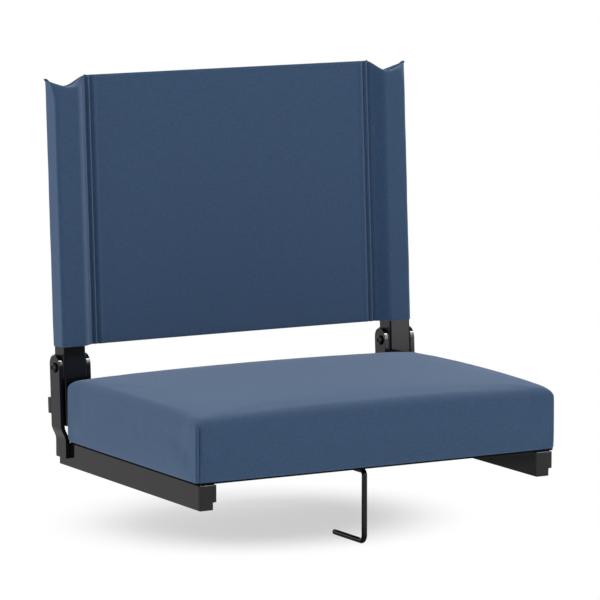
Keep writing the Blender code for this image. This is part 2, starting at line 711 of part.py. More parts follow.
def cushion_mesh(name, skin, floor):
    """Cage of the cushion, or of what lies a skin's thickness inside it, from a floor up to its crowned top.

    The box is cut by loops near its edges and moved: its top arches across and rises towards the middle, and its
    front and sides swell between their edges.
    """
    half_width = CUSHION_WIDTH / 2
    half_depth = (CUSHION_REAR - CUSHION_FRONT) / 2
    middle = (CUSHION_REAR + CUSHION_FRONT) / 2
    top = COVER_FLOOR + CUSHION_HEIGHT
    size = Vector((2 * (half_width - skin), 2 * (half_depth - skin), top - skin - floor))
    centre = Vector((0, middle, (top - skin + floor) / 2))
    shape = bmesh.new()
    bmesh.ops.create_cube(shape, size=1, matrix=Matrix.Translation(centre) @ Matrix.Diagonal(size).to_4x4())
    for axis in range(3):
        reach = size[axis] / 2 - (CUSHION_EDGE if axis == 2 else CUSHION_CORNER)
        loops = (-reach, reach) if axis == 2 else (-reach, -0.62 * reach, 0, 0.62 * reach, reach)
        normal = Vector([float(axis == index) for index in range(3)])
        for loop in loops:
            bmesh.ops.bisect_plane(
                shape,
                geom=shape.verts[:] + shape.edges[:] + shape.faces[:],
                dist=WELD,
                plane_co=centre + normal * loop,
                plane_no=normal,
            )
    for vert in shape.verts:
        across = (vert.co.x - centre.x) / (size.x / 2)
        along = (vert.co.y - centre.y) / (size.y / 2)
        up = (vert.co.z - centre.z) / (size.z / 2)
        swell = CUSHION_BULGE * (1 - up**4)
        vert.co.x += swell * across**5 * (1 - along**4)
        vert.co.y -= swell * max(-along, 0) ** 5 * (1 - across**4)
        crown = CUSHION_ARCH * (1 - across**2) + CUSHION_CROWN * (1 - across**4) * (1 - along**4)
        vert.co.z += max(up, 0) * crown
    mesh = bpy.data.meshes.new(name)
    shape.to_mesh(mesh)
    shape.free()
    return mesh


def soften(piece):
    """Round a cage with one step of Subdivision Surface."""
    smooth = piece.modifiers.new("soft", "SUBSURF")
    smooth.levels = 1
    smooth.render_levels = 1
    return piece


def plan_box(margin):
    """Corners, seen from above, of the cushion's outline moved inwards by a margin."""
    depth = CUSHION_REAR - CUSHION_FRONT - 2 * margin
    return box_corners(CUSHION_WIDTH - 2 * margin, depth, (0, (CUSHION_REAR + CUSHION_FRONT) / 2))


def seat_screw_places():
    """Where the seat's screws pass the undersides of the straps."""
    return [
        (sign * SEAT_SCREW_SPREAD / 2, setback, STRAP_BOTTOM) for setback in STRAP_SETBACKS for _, sign in SIDES
    ]


def build_cushion():
    """Board, foam and cover. The cover is turned in under the board, where a lining closes it."""
    grip = BOARD_FLOOR + SEAT_SCREW_BITE - STRAP_BOTTOM
    screw_bores = bores(
        "seat_screw_bores", SCREW_DIAMETER / 2 + FIT, 2 * (grip + FIT), seat_screw_places(), (0, 0, 0)
    )
    cover = soften(new_part("seat_cover", cushion_mesh("cover", 0, COVER_FLOOR), SEAT_CLOTH))
    cavity = new_cutter(
        "cover_cavity", cushion_mesh("cavity", COVER_THICKNESS, COVER_FLOOR + COVER_THICKNESS)
    )
    combine(cover, soften(cavity))
    mouth = rounded(plan_box(HEM_WIDTH), HEM_CORNER)
    combine(cover, new_cutter("cover_mouth", slab([mouth], 4 * COVER_THICKNESS, TOP_PLANE, COVER_FLOOR)))

    lining = rounded(plan_box(HEM_WIDTH + FIT), HEM_CORNER)
    middle = BOARD_FLOOR - FIT - DUST_COVER_THICKNESS / 2
    dust_cover = new_part("dust_cover", slab([lining], DUST_COVER_THICKNESS, TOP_PLANE, middle), LINING)
    combine(dust_cover, screw_bores)

    sheet = rounded(plan_box(BOARD_INSET), BOARD_CORNER)
    board = new_part(
        "seat_board", slab([sheet], BOARD_THICKNESS, TOP_PLANE, BOARD_FLOOR + BOARD_THICKNESS / 2), PLYWOOD
    )
    combine(board, screw_bores)
    within = COVER_THICKNESS + FIT
    foam = soften(new_part("seat_foam", cushion_mesh("foam", within, COVER_FLOOR + within), FOAM))
    below = 2 * (BOARD_TOP + FIT - COVER_FLOOR)
    combine(foam, new_cutter("board_space", slab([plan_box(-BOARD_INSET)], below, TOP_PLANE, COVER_FLOOR)))

    screw = pan_head_profile(SCREW_DIAMETER, SCREW_HEAD_DIAMETER, SCREW_HEAD_HEIGHT, grip)
    for number, (x, y, z) in enumerate(seat_screw_places(), 1):
        turned(f"seat_screw_{number}", screw, ZINC, CHAIR, (x, y, z - FIT), HEAD_DOWN)
    return screw_bores


def build_straps(screw_bores, rivet_bores):
    """Flat straps between the rails, level with their tops, which carry the seat and the hook."""
    length = RAIL_SPREAD - 2 * RAIL_WIDTH - 2 * FIT
    for name, setback in (("front_strap", FRONT_STRAP_SETBACK), ("rear_strap", REAR_STRAP_SETBACK)):
        outline = box_corners(length, STRAP_WIDTH, (0, setback))
        blank = slab([outline], STRAP_THICKNESS, TOP_PLANE, STRAP_TOP - STRAP_THICKNESS / 2)
        strap = new_part(name, blank, FRAME_BLACK)
        combine(strap, screw_bores)
        combine(strap, rivet_bores)


def clip_outline():
    """Front view of a clip: a U round the rod, with a flange on each side against the strap."""
    top = STRAP_BOTTOM - FIT
    inner = HOOK_ROD / 2 + FIT
    outer = inner + CLIP_THICKNESS
    flange = outer + CLIP_FLANGE
    under = top - CLIP_THICKNESS
    outline = [(-flange, top), (-flange, under), (-outer, under)]
    for angle in np.linspace(math.pi, 2 * math.pi, 2 * ARC_STEPS + 1):
        outline.append((outer * math.cos(angle), ARM_HEIGHT + outer * math.sin(angle)))
    outline += [(outer, under), (flange, under), (flange, top), (inner, top)]
    for angle in np.linspace(2 * math.pi, math.pi, 2 * ARC_STEPS + 1):
        outline.append((inner * math.cos(angle), ARM_HEIGHT + inner * math.sin(angle)))
    outline.append((-inner, top))
    return outline


def build_clips():
    """Two clips under the straps, as long as these are wide, that carry the hook's arm, each on two rivets."""
    under = STRAP_BOTTOM - FIT - CLIP_THICKNESS
    grip = STRAP_TOP - under
    places = [(sign * CLIP_SPREAD / 2, setback, under) for setback in STRAP_SETBACKS for _, sign in SIDES]
    rivet_bores = bores("clip_rivet_bores", RIVET_DIAMETER / 2 + FIT, 2 * (grip + FIT), places, (0, 0, 0))
    for name, setback in (("hook_clip_front", FRONT_STRAP_SETBACK), ("hook_clip_rear", REAR_STRAP_SETBACK)):
        clip = new_part(name, slab([clip_outline()], STRAP_WIDTH, FRONT_PLANE, -setback), ZINC)
        combine(clip, rivet_bores)
    rivet = pan_head_profile(RIVET_DIAMETER, RIVET_HEAD_DIAMETER, RIVET_HEAD_HEIGHT, grip)
    for number, (x, y, z) in enumerate(places, 1):
        turned(f"clip_rivet_{number}", rivet, ZINC, CHAIR, (x, y, z - FIT), HEAD_DOWN)
    return rivet_bores


def hook_path(arm):
    """Middle line of the hook's rod in the side view, from its arm's end to its toe, with round bends."""
    corners = [(arm, 0, 0), (0, 0), (0, -HOOK_DROP), (HOOK_FOOT, -HOOK_DROP, 0)]
    return [(0, y, z) for y, z in rounded(corners, HOOK_BEND, 2 * ARC_STEPS)]


def build_hook():
    """Rod bent to an arm in the clips, a drop in front of the bench and a foot under it, with a collar at each clip."""
    beside_strap = (STRAP_WIDTH + COLLAR_LENGTH) / 2 + FIT
    front_collar = FRONT_STRAP_SETBACK - HOOK_SETBACK - beside_strap
    rear_collar = REAR_STRAP_SETBACK - HOOK_SETBACK + beside_strap
    curve = bpy.data.curves.new("rod", "CURVE")
    curve.dimensions = "3D"
    curve.bevel_depth = HOOK_ROD / 2
    curve.bevel_resolution = 4
    curve.use_fill_caps = True
    add_spline(curve, hook_path(rear_collar + COLLAR_LENGTH), cyclic=False)
    new_part("bench_hook", mesh_of_curve(curve), FRAME_BLACK, HOOK)
    inner = HOOK_ROD / 2 + FIT
    ring = ring_profile(inner, inner + COLLAR_WALL, COLLAR_LENGTH)
    for name, along in (("hook_collar_front", front_collar), ("hook_collar_rear", rear_collar)):
        turned(name, ring, NYLON_BLACK, HOOK, (0, along, 0), HEAD_REAR)


def stand_on_floor():
    """Move the chair so that the middle of the underside of its box is on the world's origin."""
    graph = bpy.context.evaluated_depsgraph_get()
    points = []
    for piece in PARTS.objects:
        if piece.type == "MESH":
            seen = piece.evaluated_get(graph)
            points.extend(seen.matrix_world @ vert.co for vert in seen.data.vertices)
    points = np.array(points)
    low, high = points.min(axis=0), points.max(axis=0)
    CHAIR.location = (0, -(low[1] + high[1]) / 2, -low[2])


def shade():
    """Shade round forms smooth and keep their edges sharp."""
    for piece in PARTS.objects:
        if piece.type == "MESH":
            piece.data.shade_smooth()
            piece.data.set_sharp_from_angle(angle=math.radians(35))


def main():
    """Build the chair, body by body."""
    build_rails()
    build_hinge_plates()
    build_hinge_spacers()
    build_pivots()
    rivet_bores = build_clips()
    build_straps(build_cushion(), rivet_bores)
    build_hook()
    build_stop_bar(build_uprights())
    build_sling()
    shade()
    stand_on_floor()


main()
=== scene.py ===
"""Looks of a folding stadium chair: finishes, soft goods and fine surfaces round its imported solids.

Metres, +Z up, -Y to the front. Left and right are as seen from the front, with +X to the right.
"""

import json
import logging
import math
from dataclasses import dataclass
from enum import Enum

import bmesh
import bpy
import numpy as np
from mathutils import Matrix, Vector


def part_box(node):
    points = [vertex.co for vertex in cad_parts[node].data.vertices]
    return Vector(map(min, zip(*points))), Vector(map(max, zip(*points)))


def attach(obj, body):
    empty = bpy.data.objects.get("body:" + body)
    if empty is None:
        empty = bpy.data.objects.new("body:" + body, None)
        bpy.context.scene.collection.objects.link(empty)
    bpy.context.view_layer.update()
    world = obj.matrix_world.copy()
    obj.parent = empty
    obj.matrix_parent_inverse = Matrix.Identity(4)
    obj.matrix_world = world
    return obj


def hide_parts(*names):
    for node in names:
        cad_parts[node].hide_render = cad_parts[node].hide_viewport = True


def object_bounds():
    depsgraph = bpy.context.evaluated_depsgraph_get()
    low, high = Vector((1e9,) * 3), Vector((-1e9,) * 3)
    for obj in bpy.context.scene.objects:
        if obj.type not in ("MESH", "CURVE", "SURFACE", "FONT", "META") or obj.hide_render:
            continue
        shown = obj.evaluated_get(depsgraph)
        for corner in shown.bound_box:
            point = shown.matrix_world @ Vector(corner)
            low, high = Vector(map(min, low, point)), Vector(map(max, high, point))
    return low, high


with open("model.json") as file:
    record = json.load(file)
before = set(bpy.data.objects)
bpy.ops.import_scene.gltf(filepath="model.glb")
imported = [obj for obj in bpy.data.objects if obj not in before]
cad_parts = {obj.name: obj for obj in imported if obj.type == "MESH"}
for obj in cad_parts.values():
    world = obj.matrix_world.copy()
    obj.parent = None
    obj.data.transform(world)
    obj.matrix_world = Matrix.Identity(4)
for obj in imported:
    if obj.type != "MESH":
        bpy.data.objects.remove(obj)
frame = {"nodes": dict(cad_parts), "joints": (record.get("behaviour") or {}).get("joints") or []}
CAD_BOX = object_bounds()

LOG = logging.getLogger("stadium_chair")
CLOTH_MAP = "cloth"
RIM = "rim"
LEAST_WEAR = 0.35
HEAD_CREASE = 50.0
LEAST_RADIUS = 1e-5
TINY = 1e-12
ENDS = ("front", "rear")

Array = np.ndarray
Pair = tuple[float, float]
Colour = tuple[float, float, float]
Place = tuple[float, float, float]


class Body(Enum):
    """Bodies of the chair that move against each other."""

    SEAT = "seat_base"
    BACK = "backrest"
    HOOK = "bench_hook"


class Along(Enum):
    """Axis that a straight piece runs along: where its outline's two axes and its length go."""

    X = (1, 2, 0)
    Y = (0, 2, 1)
    Z = (0, 1, 2)


class Side(Enum):
    """Sides of the chair. The value is the sign of X there."""

    LEFT = -1
    RIGHT = 1

    @property
    def word(self) -> str:
        """The side's name in lower case."""
        return self.name.lower()


# Shapes as arrays of points


def unit(vectors: Array) -> Array:
    """The same headings with length 1."""
    return vectors / np.maximum(np.linalg.norm(vectors, axis=-1, keepdims=True), TINY)


def held(value: Array) -> Array:
    """A value held between 0 and 1."""
    return np.clip(value, 0, 1)


def eased(value: Array) -> Array:
    """Ease from 0 to 1: 3 t^2 - 2 t^3, with t held between 0 and 1."""
    share = held(value)
    return share**2 * (3 - 2 * share)


def half_wave(value: Array) -> Array:
    """Half a cosine wave from 0 to 1: (1 - cos(pi t)) / 2, with t held between 0 and 1."""
    return (1 - np.cos(math.pi * held(value))) / 2


def bell(away: Array, width: float) -> Array:
    """Bell curve of a distance d: exp(-(d / width)^2)."""
    return np.exp(-((away / width) ** 2))


def arc_corners(corners: Array, radius: float, steps: int) -> Array:
    """Closed outline whose corners are arcs of radius r.

    A corner's arc starts and ends r / tan(h) from it, h being half the angle between its two edges, and turns
    about the point r / sin(h) from it on their bisector.

    Args:
        corners: The corners in turn, (n, 2).
        radius: Radius of the arcs.
        steps: Stretches in an arc.

    Returns:
        The outline's points, (n * (steps + 1), 2).
    """
    back = unit(np.roll(corners, 1, axis=0) - corners)
    ahead = unit(np.roll(corners, -1, axis=0) - corners)
    half = np.arccos(np.clip((back * ahead).sum(1), -1, 1)) / 2
    centre = corners + unit(back + ahead) * (radius / np.sin(half))[:, None]
    start = corners + back * (radius / np.tan(half))[:, None] - centre
    turn = np.sign(back[:, 1] * ahead[:, 0] - back[:, 0] * ahead[:, 1]) * (math.pi - 2 * half)
    angle = turn[:, None] * np.linspace(0, 1, steps + 1)[None, :]
    x = centre[:, :1] + start[:, :1] * np.cos(angle) - start[:, 1:] * np.sin(angle)
    y = centre[:, 1:] + start[:, :1] * np.sin(angle) + start[:, 1:] * np.cos(angle)
    return np.stack([x, y], axis=2).reshape(-1, 2)


def rounded_box(width: float, height: float, radius: float, steps: int, centre: Pair = (0.0, 0.0)) -> Array:
    """Outline of a rectangle with round corners, anticlockwise.

    Args:
        width: Its width.
        height: Its height.
        radius: Radius of its corners.
        steps: Stretches in a corner's arc.
        centre: Its middle.

    Returns:
        The outline's points, (n, 2).
    """
    corners = np.array([(-1, -1), (1, -1), (1, 1), (-1, 1)]) * (width / 2, height / 2) + np.array(centre)
    return arc_corners(corners, radius, steps)


def inset(outline: Array, distance: Array) -> Array:
    """Copies of an anticlockwise outline, each moved inwards along the mean of the normals of its edges.

    Args:
        outline: Points in turn, (n, 2).
        distance: How far each copy moves, (k,).

    Returns:
        The copies, (k, n, 2).
    """
    edge = np.roll(outline, -1, axis=0) - outline
    normal = unit(np.stack([-edge[:, 1], edge[:, 0]], axis=1))
    mean = normal + np.roll(normal, 1, axis=0)
    mean *= 2 / np.maximum((mean**2).sum(1, keepdims=True), TINY)
    return outline[None] + distance[:, None, None] * mean[None]


def prism(
    outline: Array, start: float, end: float, along: Along, rim: float, steps: int = 3
) -> tuple[Array, Array]:
    """Straight piece: an outline carried along an axis, with a quarter circle round the rim of each end.

    Args:
        outline: Section, anticlockwise, (n, 2).
        start: Where it starts along the axis.
        end: Where it ends.
        along: The axis.
        rim: Radius of the rims.
        steps: Stretches across a rim.

    Returns:
        Rings of points, (k, n, 3), and each ring's share of rim, (k,).
    """
    angle = np.linspace(0, math.pi / 2, steps + 1)
    inner, run = rim * (1 - np.sin(angle)), rim * (1 - np.cos(angle))
    flat = inset(outline, np.concatenate([inner, inner[::-1]]))
    first, second, third = along.value
    rings = np.empty((*flat.shape[:2], 3))
    rings[..., first] = flat[..., 0]
    rings[..., second] = flat[..., 1]
    rings[..., third] = np.concatenate([start + run, end - run[::-1]])[:, None]
    worn = np.sin(2 * angle) + LEAST_WEAR
    return rings, np.concatenate([worn, worn[::-1]])


def turned(profile: Array, steps: int, socket_rings: int = 0) -> Array:
    """Turned piece: a profile of (radius, height) carried round the Z axis.

    The first rings, those of a hexagon socket, have the radius r cos(30) / cos(a - 30), with a the angle from
    the last flat's start, instead of r.

    Args:
        profile: Points from the head's middle to the foot's middle, (k, 2).
        steps: Stretches round the axis.
        socket_rings: How many of the first rings are hexagons.

    Returns:
        Rings of points, (k, steps, 3).
    """
    angle = np.arange(steps) * 2 * math.pi / steps
    flat = math.cos(math.pi / 6) / np.cos(np.mod(angle, math.pi / 3) - math.pi / 6)
    shape = np.where(np.arange(len(profile))[:, None] < socket_rings, flat[None], 1.0)
    radius = np.maximum(profile[:, :1], LEAST_RADIUS) * shape
    height = np.broadcast_to(profile[:, 1:], radius.shape)
    return np.stack([radius * np.cos(angle), radius * np.sin(angle), height], axis=2)


def swept_rod(path: Array, radius: float, sides: int, end_steps: int = 5, pole: float = 0.06) -> Array:
    """Round rod: a circle carried along a path in the plane X = 0, with half spheres on both ends.

    Args:
        path: Middle line, (n, 3).
        radius: The rod's radius.
        sides: Points round the circle.
        end_steps: Rings in each half sphere.
        pole: Angle of a half sphere's smallest ring from its pole.

    Returns:
        Rings of points, (k, sides, 3).
    """
    heading = unit(np.gradient(path, axis=0))
    first, last = heading[:1], heading[-1:]
    angle = np.linspace(pole, math.pi / 2, end_steps, endpoint=False)
    tip = radius * np.sin(angle)
    back = radius * (1 - np.cos(angle))
    line = np.concatenate([path[:1] + first * back[:, None], path[1:-1], path[-1:] - last * back[::-1, None]])
    forward = np.concatenate([np.repeat(first, end_steps, 0), heading[1:-1], np.repeat(last, end_steps, 0)])
    thick = np.concatenate([tip, np.full(len(path) - 2, radius), tip[::-1]])
    across = np.broadcast_to([1.0, 0.0, 0.0], line.shape)
    over = np.cross(forward, across)
    turn = np.arange(sides) * 2 * math.pi / sides
    return line[:, None] + thick[:, None, None] * (
        np.cos(turn)[None, :, None] * across[:, None] + np.sin(turn)[None, :, None] * over[:, None]
    )


# Meshes and pieces


def grid_faces(rings: int, count: int, wrap: bool) -> Array:
    """Corners of the four-sided faces of a grid of rings.

    Args:
        rings: How many rings there are.
        count: Points in a ring.
        wrap: Whether the rings are closed.

    Returns:
        The faces, (faces, 4).
    """
    here = np.arange(count if wrap else count - 1)
    after = (here + 1) % count
    base = np.arange(rings - 1)[:, None] * count
    quads = np.stack([base + here, base + after, base + count + after, base + count + here], axis=2)
    return quads.reshape(-1, 4)


def capped_faces(rings: int, count: int, bodies: int = 1) -> list[Array]:
    """Faces of like bodies of closed rings, one after the other, each with a face on both end rings.

    Args:
        rings: Rings in a body.
        count: Points in a ring.
        bodies: How many bodies there are.

    Returns:
        The faces between the rings and the end faces.
    """
    ends = np.stack([np.arange(count)[::-1], np.arange(count) + (rings - 1) * count])
    shift = np.arange(bodies)[:, None, None] * rings * count
    groups = (grid_faces(rings, count, wrap=True), ends)
    return [(group[None] + shift).reshape(-1, group.shape[1]) for group in groups]


def mesh_of(name: str, points: Array, faces: list[Array], rim: Array | None = None) -> bpy.types.Mesh:
    """Mesh from points and groups of faces of one size each.

    Args:
        name: The mesh's name.
        points: All points, (n, 3).
        faces: Groups of faces, each (faces, corners).
        rim: Share of rim at each point, which wear follows, (n,).

    Returns:
        The mesh, with its faces pointing out and shaded smooth.
    """
    corners = np.concatenate([group.ravel() for group in faces]).astype(np.int32)
    sizes = np.concatenate([np.full(len(group), group.shape[1]) for group in faces])
    starts = np.concatenate([[0], np.cumsum(sizes)[:-1]]).astype(np.int32)
    mesh = bpy.data.meshes.new(name)
    mesh.vertices.add(len(points))
    mesh.vertices.foreach_set("co", points.astype(np.float32).ravel())
    mesh.loops.add(len(corners))
    mesh.loops.foreach_set("vertex_index", corners)
    mesh.polygons.add(len(sizes))
    mesh.polygons.foreach_set("loop_start", starts)
    mesh.update(calc_edges=True)
    mesh.validate()
    if rim is not None:
        mesh.attributes.new(RIM, "FLOAT", "POINT").data.foreach_set("value", rim.astype(np.float32))
    shape = bmesh.new()
    shape.from_mesh(mesh)
    bmesh.ops.recalc_face_normals(shape, faces=shape.faces)
    shape.to_mesh(mesh)
    shape.free()
    mesh.shade_smooth()
    return mesh


def new_object(name: str, mesh: bpy.types.Mesh) -> bpy.types.Object:
    """Object of a mesh, in the scene.

    Args:
        name: The object's name.
        mesh: The mesh.

    Returns:
        The object.
    """
    thing = bpy.data.objects.new(name, mesh)
    bpy.context.scene.collection.objects.link(thing)
    return thing


def new_piece(name: str, points: Array, faces: list[Array], rim: Array | None = None) -> bpy.types.Object:
    """Object of a new mesh, from points in any grid. The arguments are those of mesh_of."""
    return new_object(name, mesh_of(name, points.reshape(-1, 3), faces, rim))


def closed_piece(
    name: str, rings: Array, worn: Array | None = None, crease: float = 40.0
) -> bpy.types.Object:
    """Closed body of rings of points, with a flat face on its first and last ring.

    Args:
        name: The piece's name.
        rings: Rings of points, (k, n, 3).
        worn: Share of rim of each ring, (k,).
        crease: Angle in degrees past which an edge stays sharp.

    Returns:
        The object.
    """
    count, sides = rings.shape[:2]
    rim = np.zeros(count) if worn is None else worn
    piece = new_piece(name, rings, capped_faces(count, sides), np.repeat(rim, sides))
    piece.data.set_sharp_from_angle(angle=math.radians(crease))
    even = piece.modifiers.new("even_shading", "WEIGHTED_NORMAL")
    even.keep_sharp = True
    return piece


def evaluated(piece: bpy.types.Object) -> bpy.types.Object:
    """A piece with its modifiers worked out."""
    return piece.evaluated_get(bpy.context.evaluated_depsgraph_get())


def read(items: bpy.types.bpy_prop_collection, name: str, width: int = 1, kind: type = np.float32) -> Array:
    """One property of all of a mesh's items.

    Args:
        items: The mesh's vertices, loops or faces.
        name: The property.
        width: Values for each item.
        kind: Type of the values.

    Returns:
        The values, (n, width), or (n,) where the width is 1.
    """
    values = np.empty(len(items) * width, kind)
    items.foreach_get(name, values)
    return values.reshape(-1, width) if width > 1 else values


def write_threads(mesh: bpy.types.Mesh, u: Array, v: Array) -> None:
    """Give a mesh the map that its threads follow, in metres at each corner of its faces."""
    layer = mesh.uv_layers.new(name=CLOTH_MAP)
    layer.data.foreach_set("uv", np.stack([u, v], axis=1).astype(np.float32).ravel())


def coat(piece: bpy.types.Object, finish: "Finish") -> None:
    """Give a piece its finish's material and no other."""
    piece.data.materials.clear()
    piece.data.materials.append(finish.material())


def seat_piece(
    piece: bpy.types.Object, body: Body, finish: "Finish", *nodes: str
) -> bpy.types.Object:
    """Give a piece its finish, let it move with a body, and let it stand for solids.

    Args:
        piece: The piece, in place.
        body: The body that carries it.
        finish: Its finish.
        nodes: The solids that it stands for.

    Returns:
        The piece.
    """
    coat(piece, finish)
    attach(piece, body.value)
    if nodes:
        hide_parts(*nodes)
    LOG.info("%s on %s for %s", piece.name, body.value, ", ".join(nodes) or "itself")
    return piece


# Shader nodes


class NodeBench:
    """Adds and joins the nodes of one tree."""

    def __init__(self, tree: bpy.types.NodeTree) -> None:
        """Keep the tree."""
        self.tree = tree

    def feed(self, socket: bpy.types.NodeSocket, value: object) -> None:
        """Link a socket to another, or set it to a constant.

        Args:
            socket: The input to feed.
            value: The output to link it to, or the constant.
        """
        if isinstance(value, bpy.types.NodeSocket):
            self.tree.links.new(value, socket)
        else:
            socket.default_value = value

    def fill(self, node: bpy.types.Node, inputs: dict[str | int, object]) -> None:
        """Feed a node's inputs, by name or number."""
        for key, value in inputs.items():
            self.feed(node.inputs[key], value)

    def add(
        self, kind: str, inputs: dict[str | int, object] | None = None, **settings: object
    ) -> bpy.types.NodeOutputs:
        """Add a node.

        Args:
            kind: Type of the node.
            inputs: What its inputs are fed with.
            settings: Its own settings.

        Returns:
            Its outputs.
        """
        node = self.tree.nodes.new(kind)
        for name, value in settings.items():
            setattr(node, name, value)
        self.fill(node, inputs or {})
        return node.outputs

    def math(self, operation: str, *values: object) -> bpy.types.NodeSocket:
        """Result of a Math node."""
        return self.add("ShaderNodeMath", dict(enumerate(values)), operation=operation)[0]

    def spread(
        self, value: object, low: float, high: float, to_low: float, to_high: float
    ) -> bpy.types.NodeSocket:
        """A value eased from one range to another, and held at its ends."""
        inputs = dict(enumerate((value, low, high, to_low, to_high)))
        return self.add("ShaderNodeMapRange", inputs, interpolation_type="SMOOTHSTEP")[0]

    def noise(self, vector: object, scale: object, detail: float = 2.0) -> bpy.types.NodeSocket:
        """Cloudy value from 0 to 1."""
        return self.add("ShaderNodeTexNoise", {"Vector": vector, "Scale": scale, "Detail": detail})["Fac"]

    def stretched(self, vector: object, scale: Place) -> bpy.types.NodeSocket:
        """Coordinates scaled on each axis."""
        return self.add("ShaderNodeMapping", {"Vector": vector, "Scale": scale})["Vector"]

    def mix(self, factor: object, first: object, second: object) -> bpy.types.NodeSocket:
        """Blend of two colours."""
        first, second = ((*one, 1.0) if isinstance(one, tuple) else one for one in (first, second))
        return self.add("ShaderNodeMix", {0: factor, 6: first, 7: second}, data_type="RGBA")[2]

    def group(self, tree: bpy.types.NodeTree, **values: object) -> bpy.types.NodeOutputs:
        """Outputs of a group's node with these inputs."""
        return self.add("ShaderNodeGroup", values, node_tree=tree)

    def bump(self, height: object, strength: float, distance: float) -> bpy.types.NodeSocket:
        """Normal of a surface raised by a height."""
        inputs = {"Height": height, "Strength": strength, "Distance": distance}
        return self.add("ShaderNodeBump", inputs)["Normal"]

    def place(self) -> bpy.types.NodeSocket:
        """The piece's own coordinates."""
        return self.add("ShaderNodeTexCoord")["Object"]


def new_group(
    name: str, inputs: dict[str, str], outputs: tuple[str, ...]
) -> tuple[NodeBench, bpy.types.NodeOutputs, bpy.types.Node] | None:
    """Start a shader node group, unless it is there already.

    Args:
        name: The group's name.
        inputs: Names of its inputs, with Float or Vector for each.
        outputs: Names of its outputs, which are values.

    Returns:
        Its bench, the sockets that bring its inputs in and the node that takes its outputs, or None.
    """
    if name in bpy.data.node_groups:
        return None
    tree = bpy.data.node_groups.new(name, "ShaderNodeTree")
    for socket, kind in inputs.items():
        tree.interface.new_socket(name=socket, in_out="INPUT", socket_type=f"NodeSocket{kind}")
    for socket in outputs:
        tree.interface.new_socket(name=socket, in_out="OUTPUT", socket_type="NodeSocketFloat")
    bench = NodeBench(tree)
    return bench, bench.add("NodeGroupInput"), tree.nodes.new("NodeGroupOutput")


def weave_group() -> bpy.types.NodeTree:
    """Plain weave: with x and y counted in threads, sin(pi x) sin(pi y) swells over each crossing.

    Its sign says which of the two threads lies on top. Slubs are long thin clouds along both threads.

    Returns:
        The group.
    """
    name, along, across = "plain_weave", 90.0, 1300.0
    made = new_group(name, {"Vector": "Vector", "Pitch": "Float", "Slub": "Float"}, ("Shade", "Height"))
    if made:
        bench, given, result = made
        turns = bench.math("DIVIDE", math.pi, given["Pitch"])
        counted = bench.add("ShaderNodeVectorMath", {0: given["Vector"], "Scale": turns}, operation="SCALE")
        split = bench.add("ShaderNodeSeparateXYZ", {0: counted[0]})
        crossing = bench.math("MULTIPLY", bench.math("SINE", split["X"]), bench.math("SINE", split["Y"]))
        swell = bench.math("POWER", bench.math("ABSOLUTE", crossing), 0.6)
        on_top = bench.spread(crossing, -0.15, 0.15, 0.0, 1.0)
        long_x = bench.noise(bench.stretched(given["Vector"], (along, across, 1.0)), 1.0)
        long_y = bench.noise(bench.stretched(given["Vector"], (across, along, 1.0)), 1.0)
        clouds = bench.noise(given["Vector"], 420.0, 3.0)
        slub = bench.math("SUBTRACT", bench.math("ADD", bench.math("ADD", long_x, long_y), clouds), 1.5)
        # Partly painted shade: the colour is darker between crossings, where the swell is low; the upper
        # thread's lighter tone and the slubs are real tones.
        shade = bench.math("MULTIPLY_ADD", swell, 0.42, bench.math("MULTIPLY_ADD", on_top, 0.14, 0.24))
        bench.fill(result, {
            "Shade": bench.math("MULTIPLY_ADD", slub, given["Slub"], shade),
            "Height": bench.math("MULTIPLY_ADD", slub, 0.35, swell),
        })
    return bpy.data.node_groups[name]


def grain_group() -> bpy.types.NodeTree:
    """Skin of a coating or moulding: fine cells over finer noise, and slow clouds.

    Returns:
        The group.
    """
    name, finer, cloud_scale = "coating_grain", 2.3, 45.0
    made = new_group(name, {"Vector": "Vector", "Scale": "Float"}, ("Height", "Cloud"))
    if made:
        bench, given, result = made
        inputs = {"Vector": given["Vector"], "Scale": given["Scale"]}
        cells = bench.add("ShaderNodeTexVoronoi", inputs, feature="SMOOTH_F1")["Distance"]
        fine = bench.noise(given["Vector"], bench.math("MULTIPLY", given["Scale"], finer))
        bench.fill(result, {
            "Height": bench.math("MULTIPLY_ADD", fine, 0.6, cells),
            "Cloud": bench.noise(given["Vector"], cloud_scale, 4.0),
        })
    return bpy.data.node_groups[name]


def wear_group() -> bpy.types.NodeTree:
    """Rubbed rims: the share of rim, broken up by noise, eased from 0 to 1 and times the amount.

    Returns:
        The group.
    """
    name, patch_scale = "rim_wear", 160.0
    made = new_group(name, {"Vector": "Vector", "Rim": "Float", "Amount": "Float"}, ("Mask",))
    if made:
        bench, given, result = made
        patches = bench.noise(given["Vector"], patch_scale, 5.0)
        rubbed = bench.spread(bench.math("MULTIPLY", given["Rim"], patches), 0.2, 0.75, 0.0, 1.0)
        bench.fill(result, {"Mask": bench.math("MULTIPLY", rubbed, given["Amount"])})
    return bpy.data.node_groups[name]


def start_material(name: str) -> tuple[bpy.types.Material, NodeBench, bpy.types.Node]:
    """Start a material.

    Args:
        name: The material's name.

    Returns:
        The material, its bench and its Principled shader.
    """
    made = bpy.data.materials.new(name)
    made.use_nodes = True
    return made, NodeBench(made.node_tree), made.node_tree.nodes["Principled BSDF"]


def tone(colour: Colour, times: float) -> Colour:
    """A lighter or darker copy of a colour."""
    return tuple(channel * times for channel in colour)


# Finishes


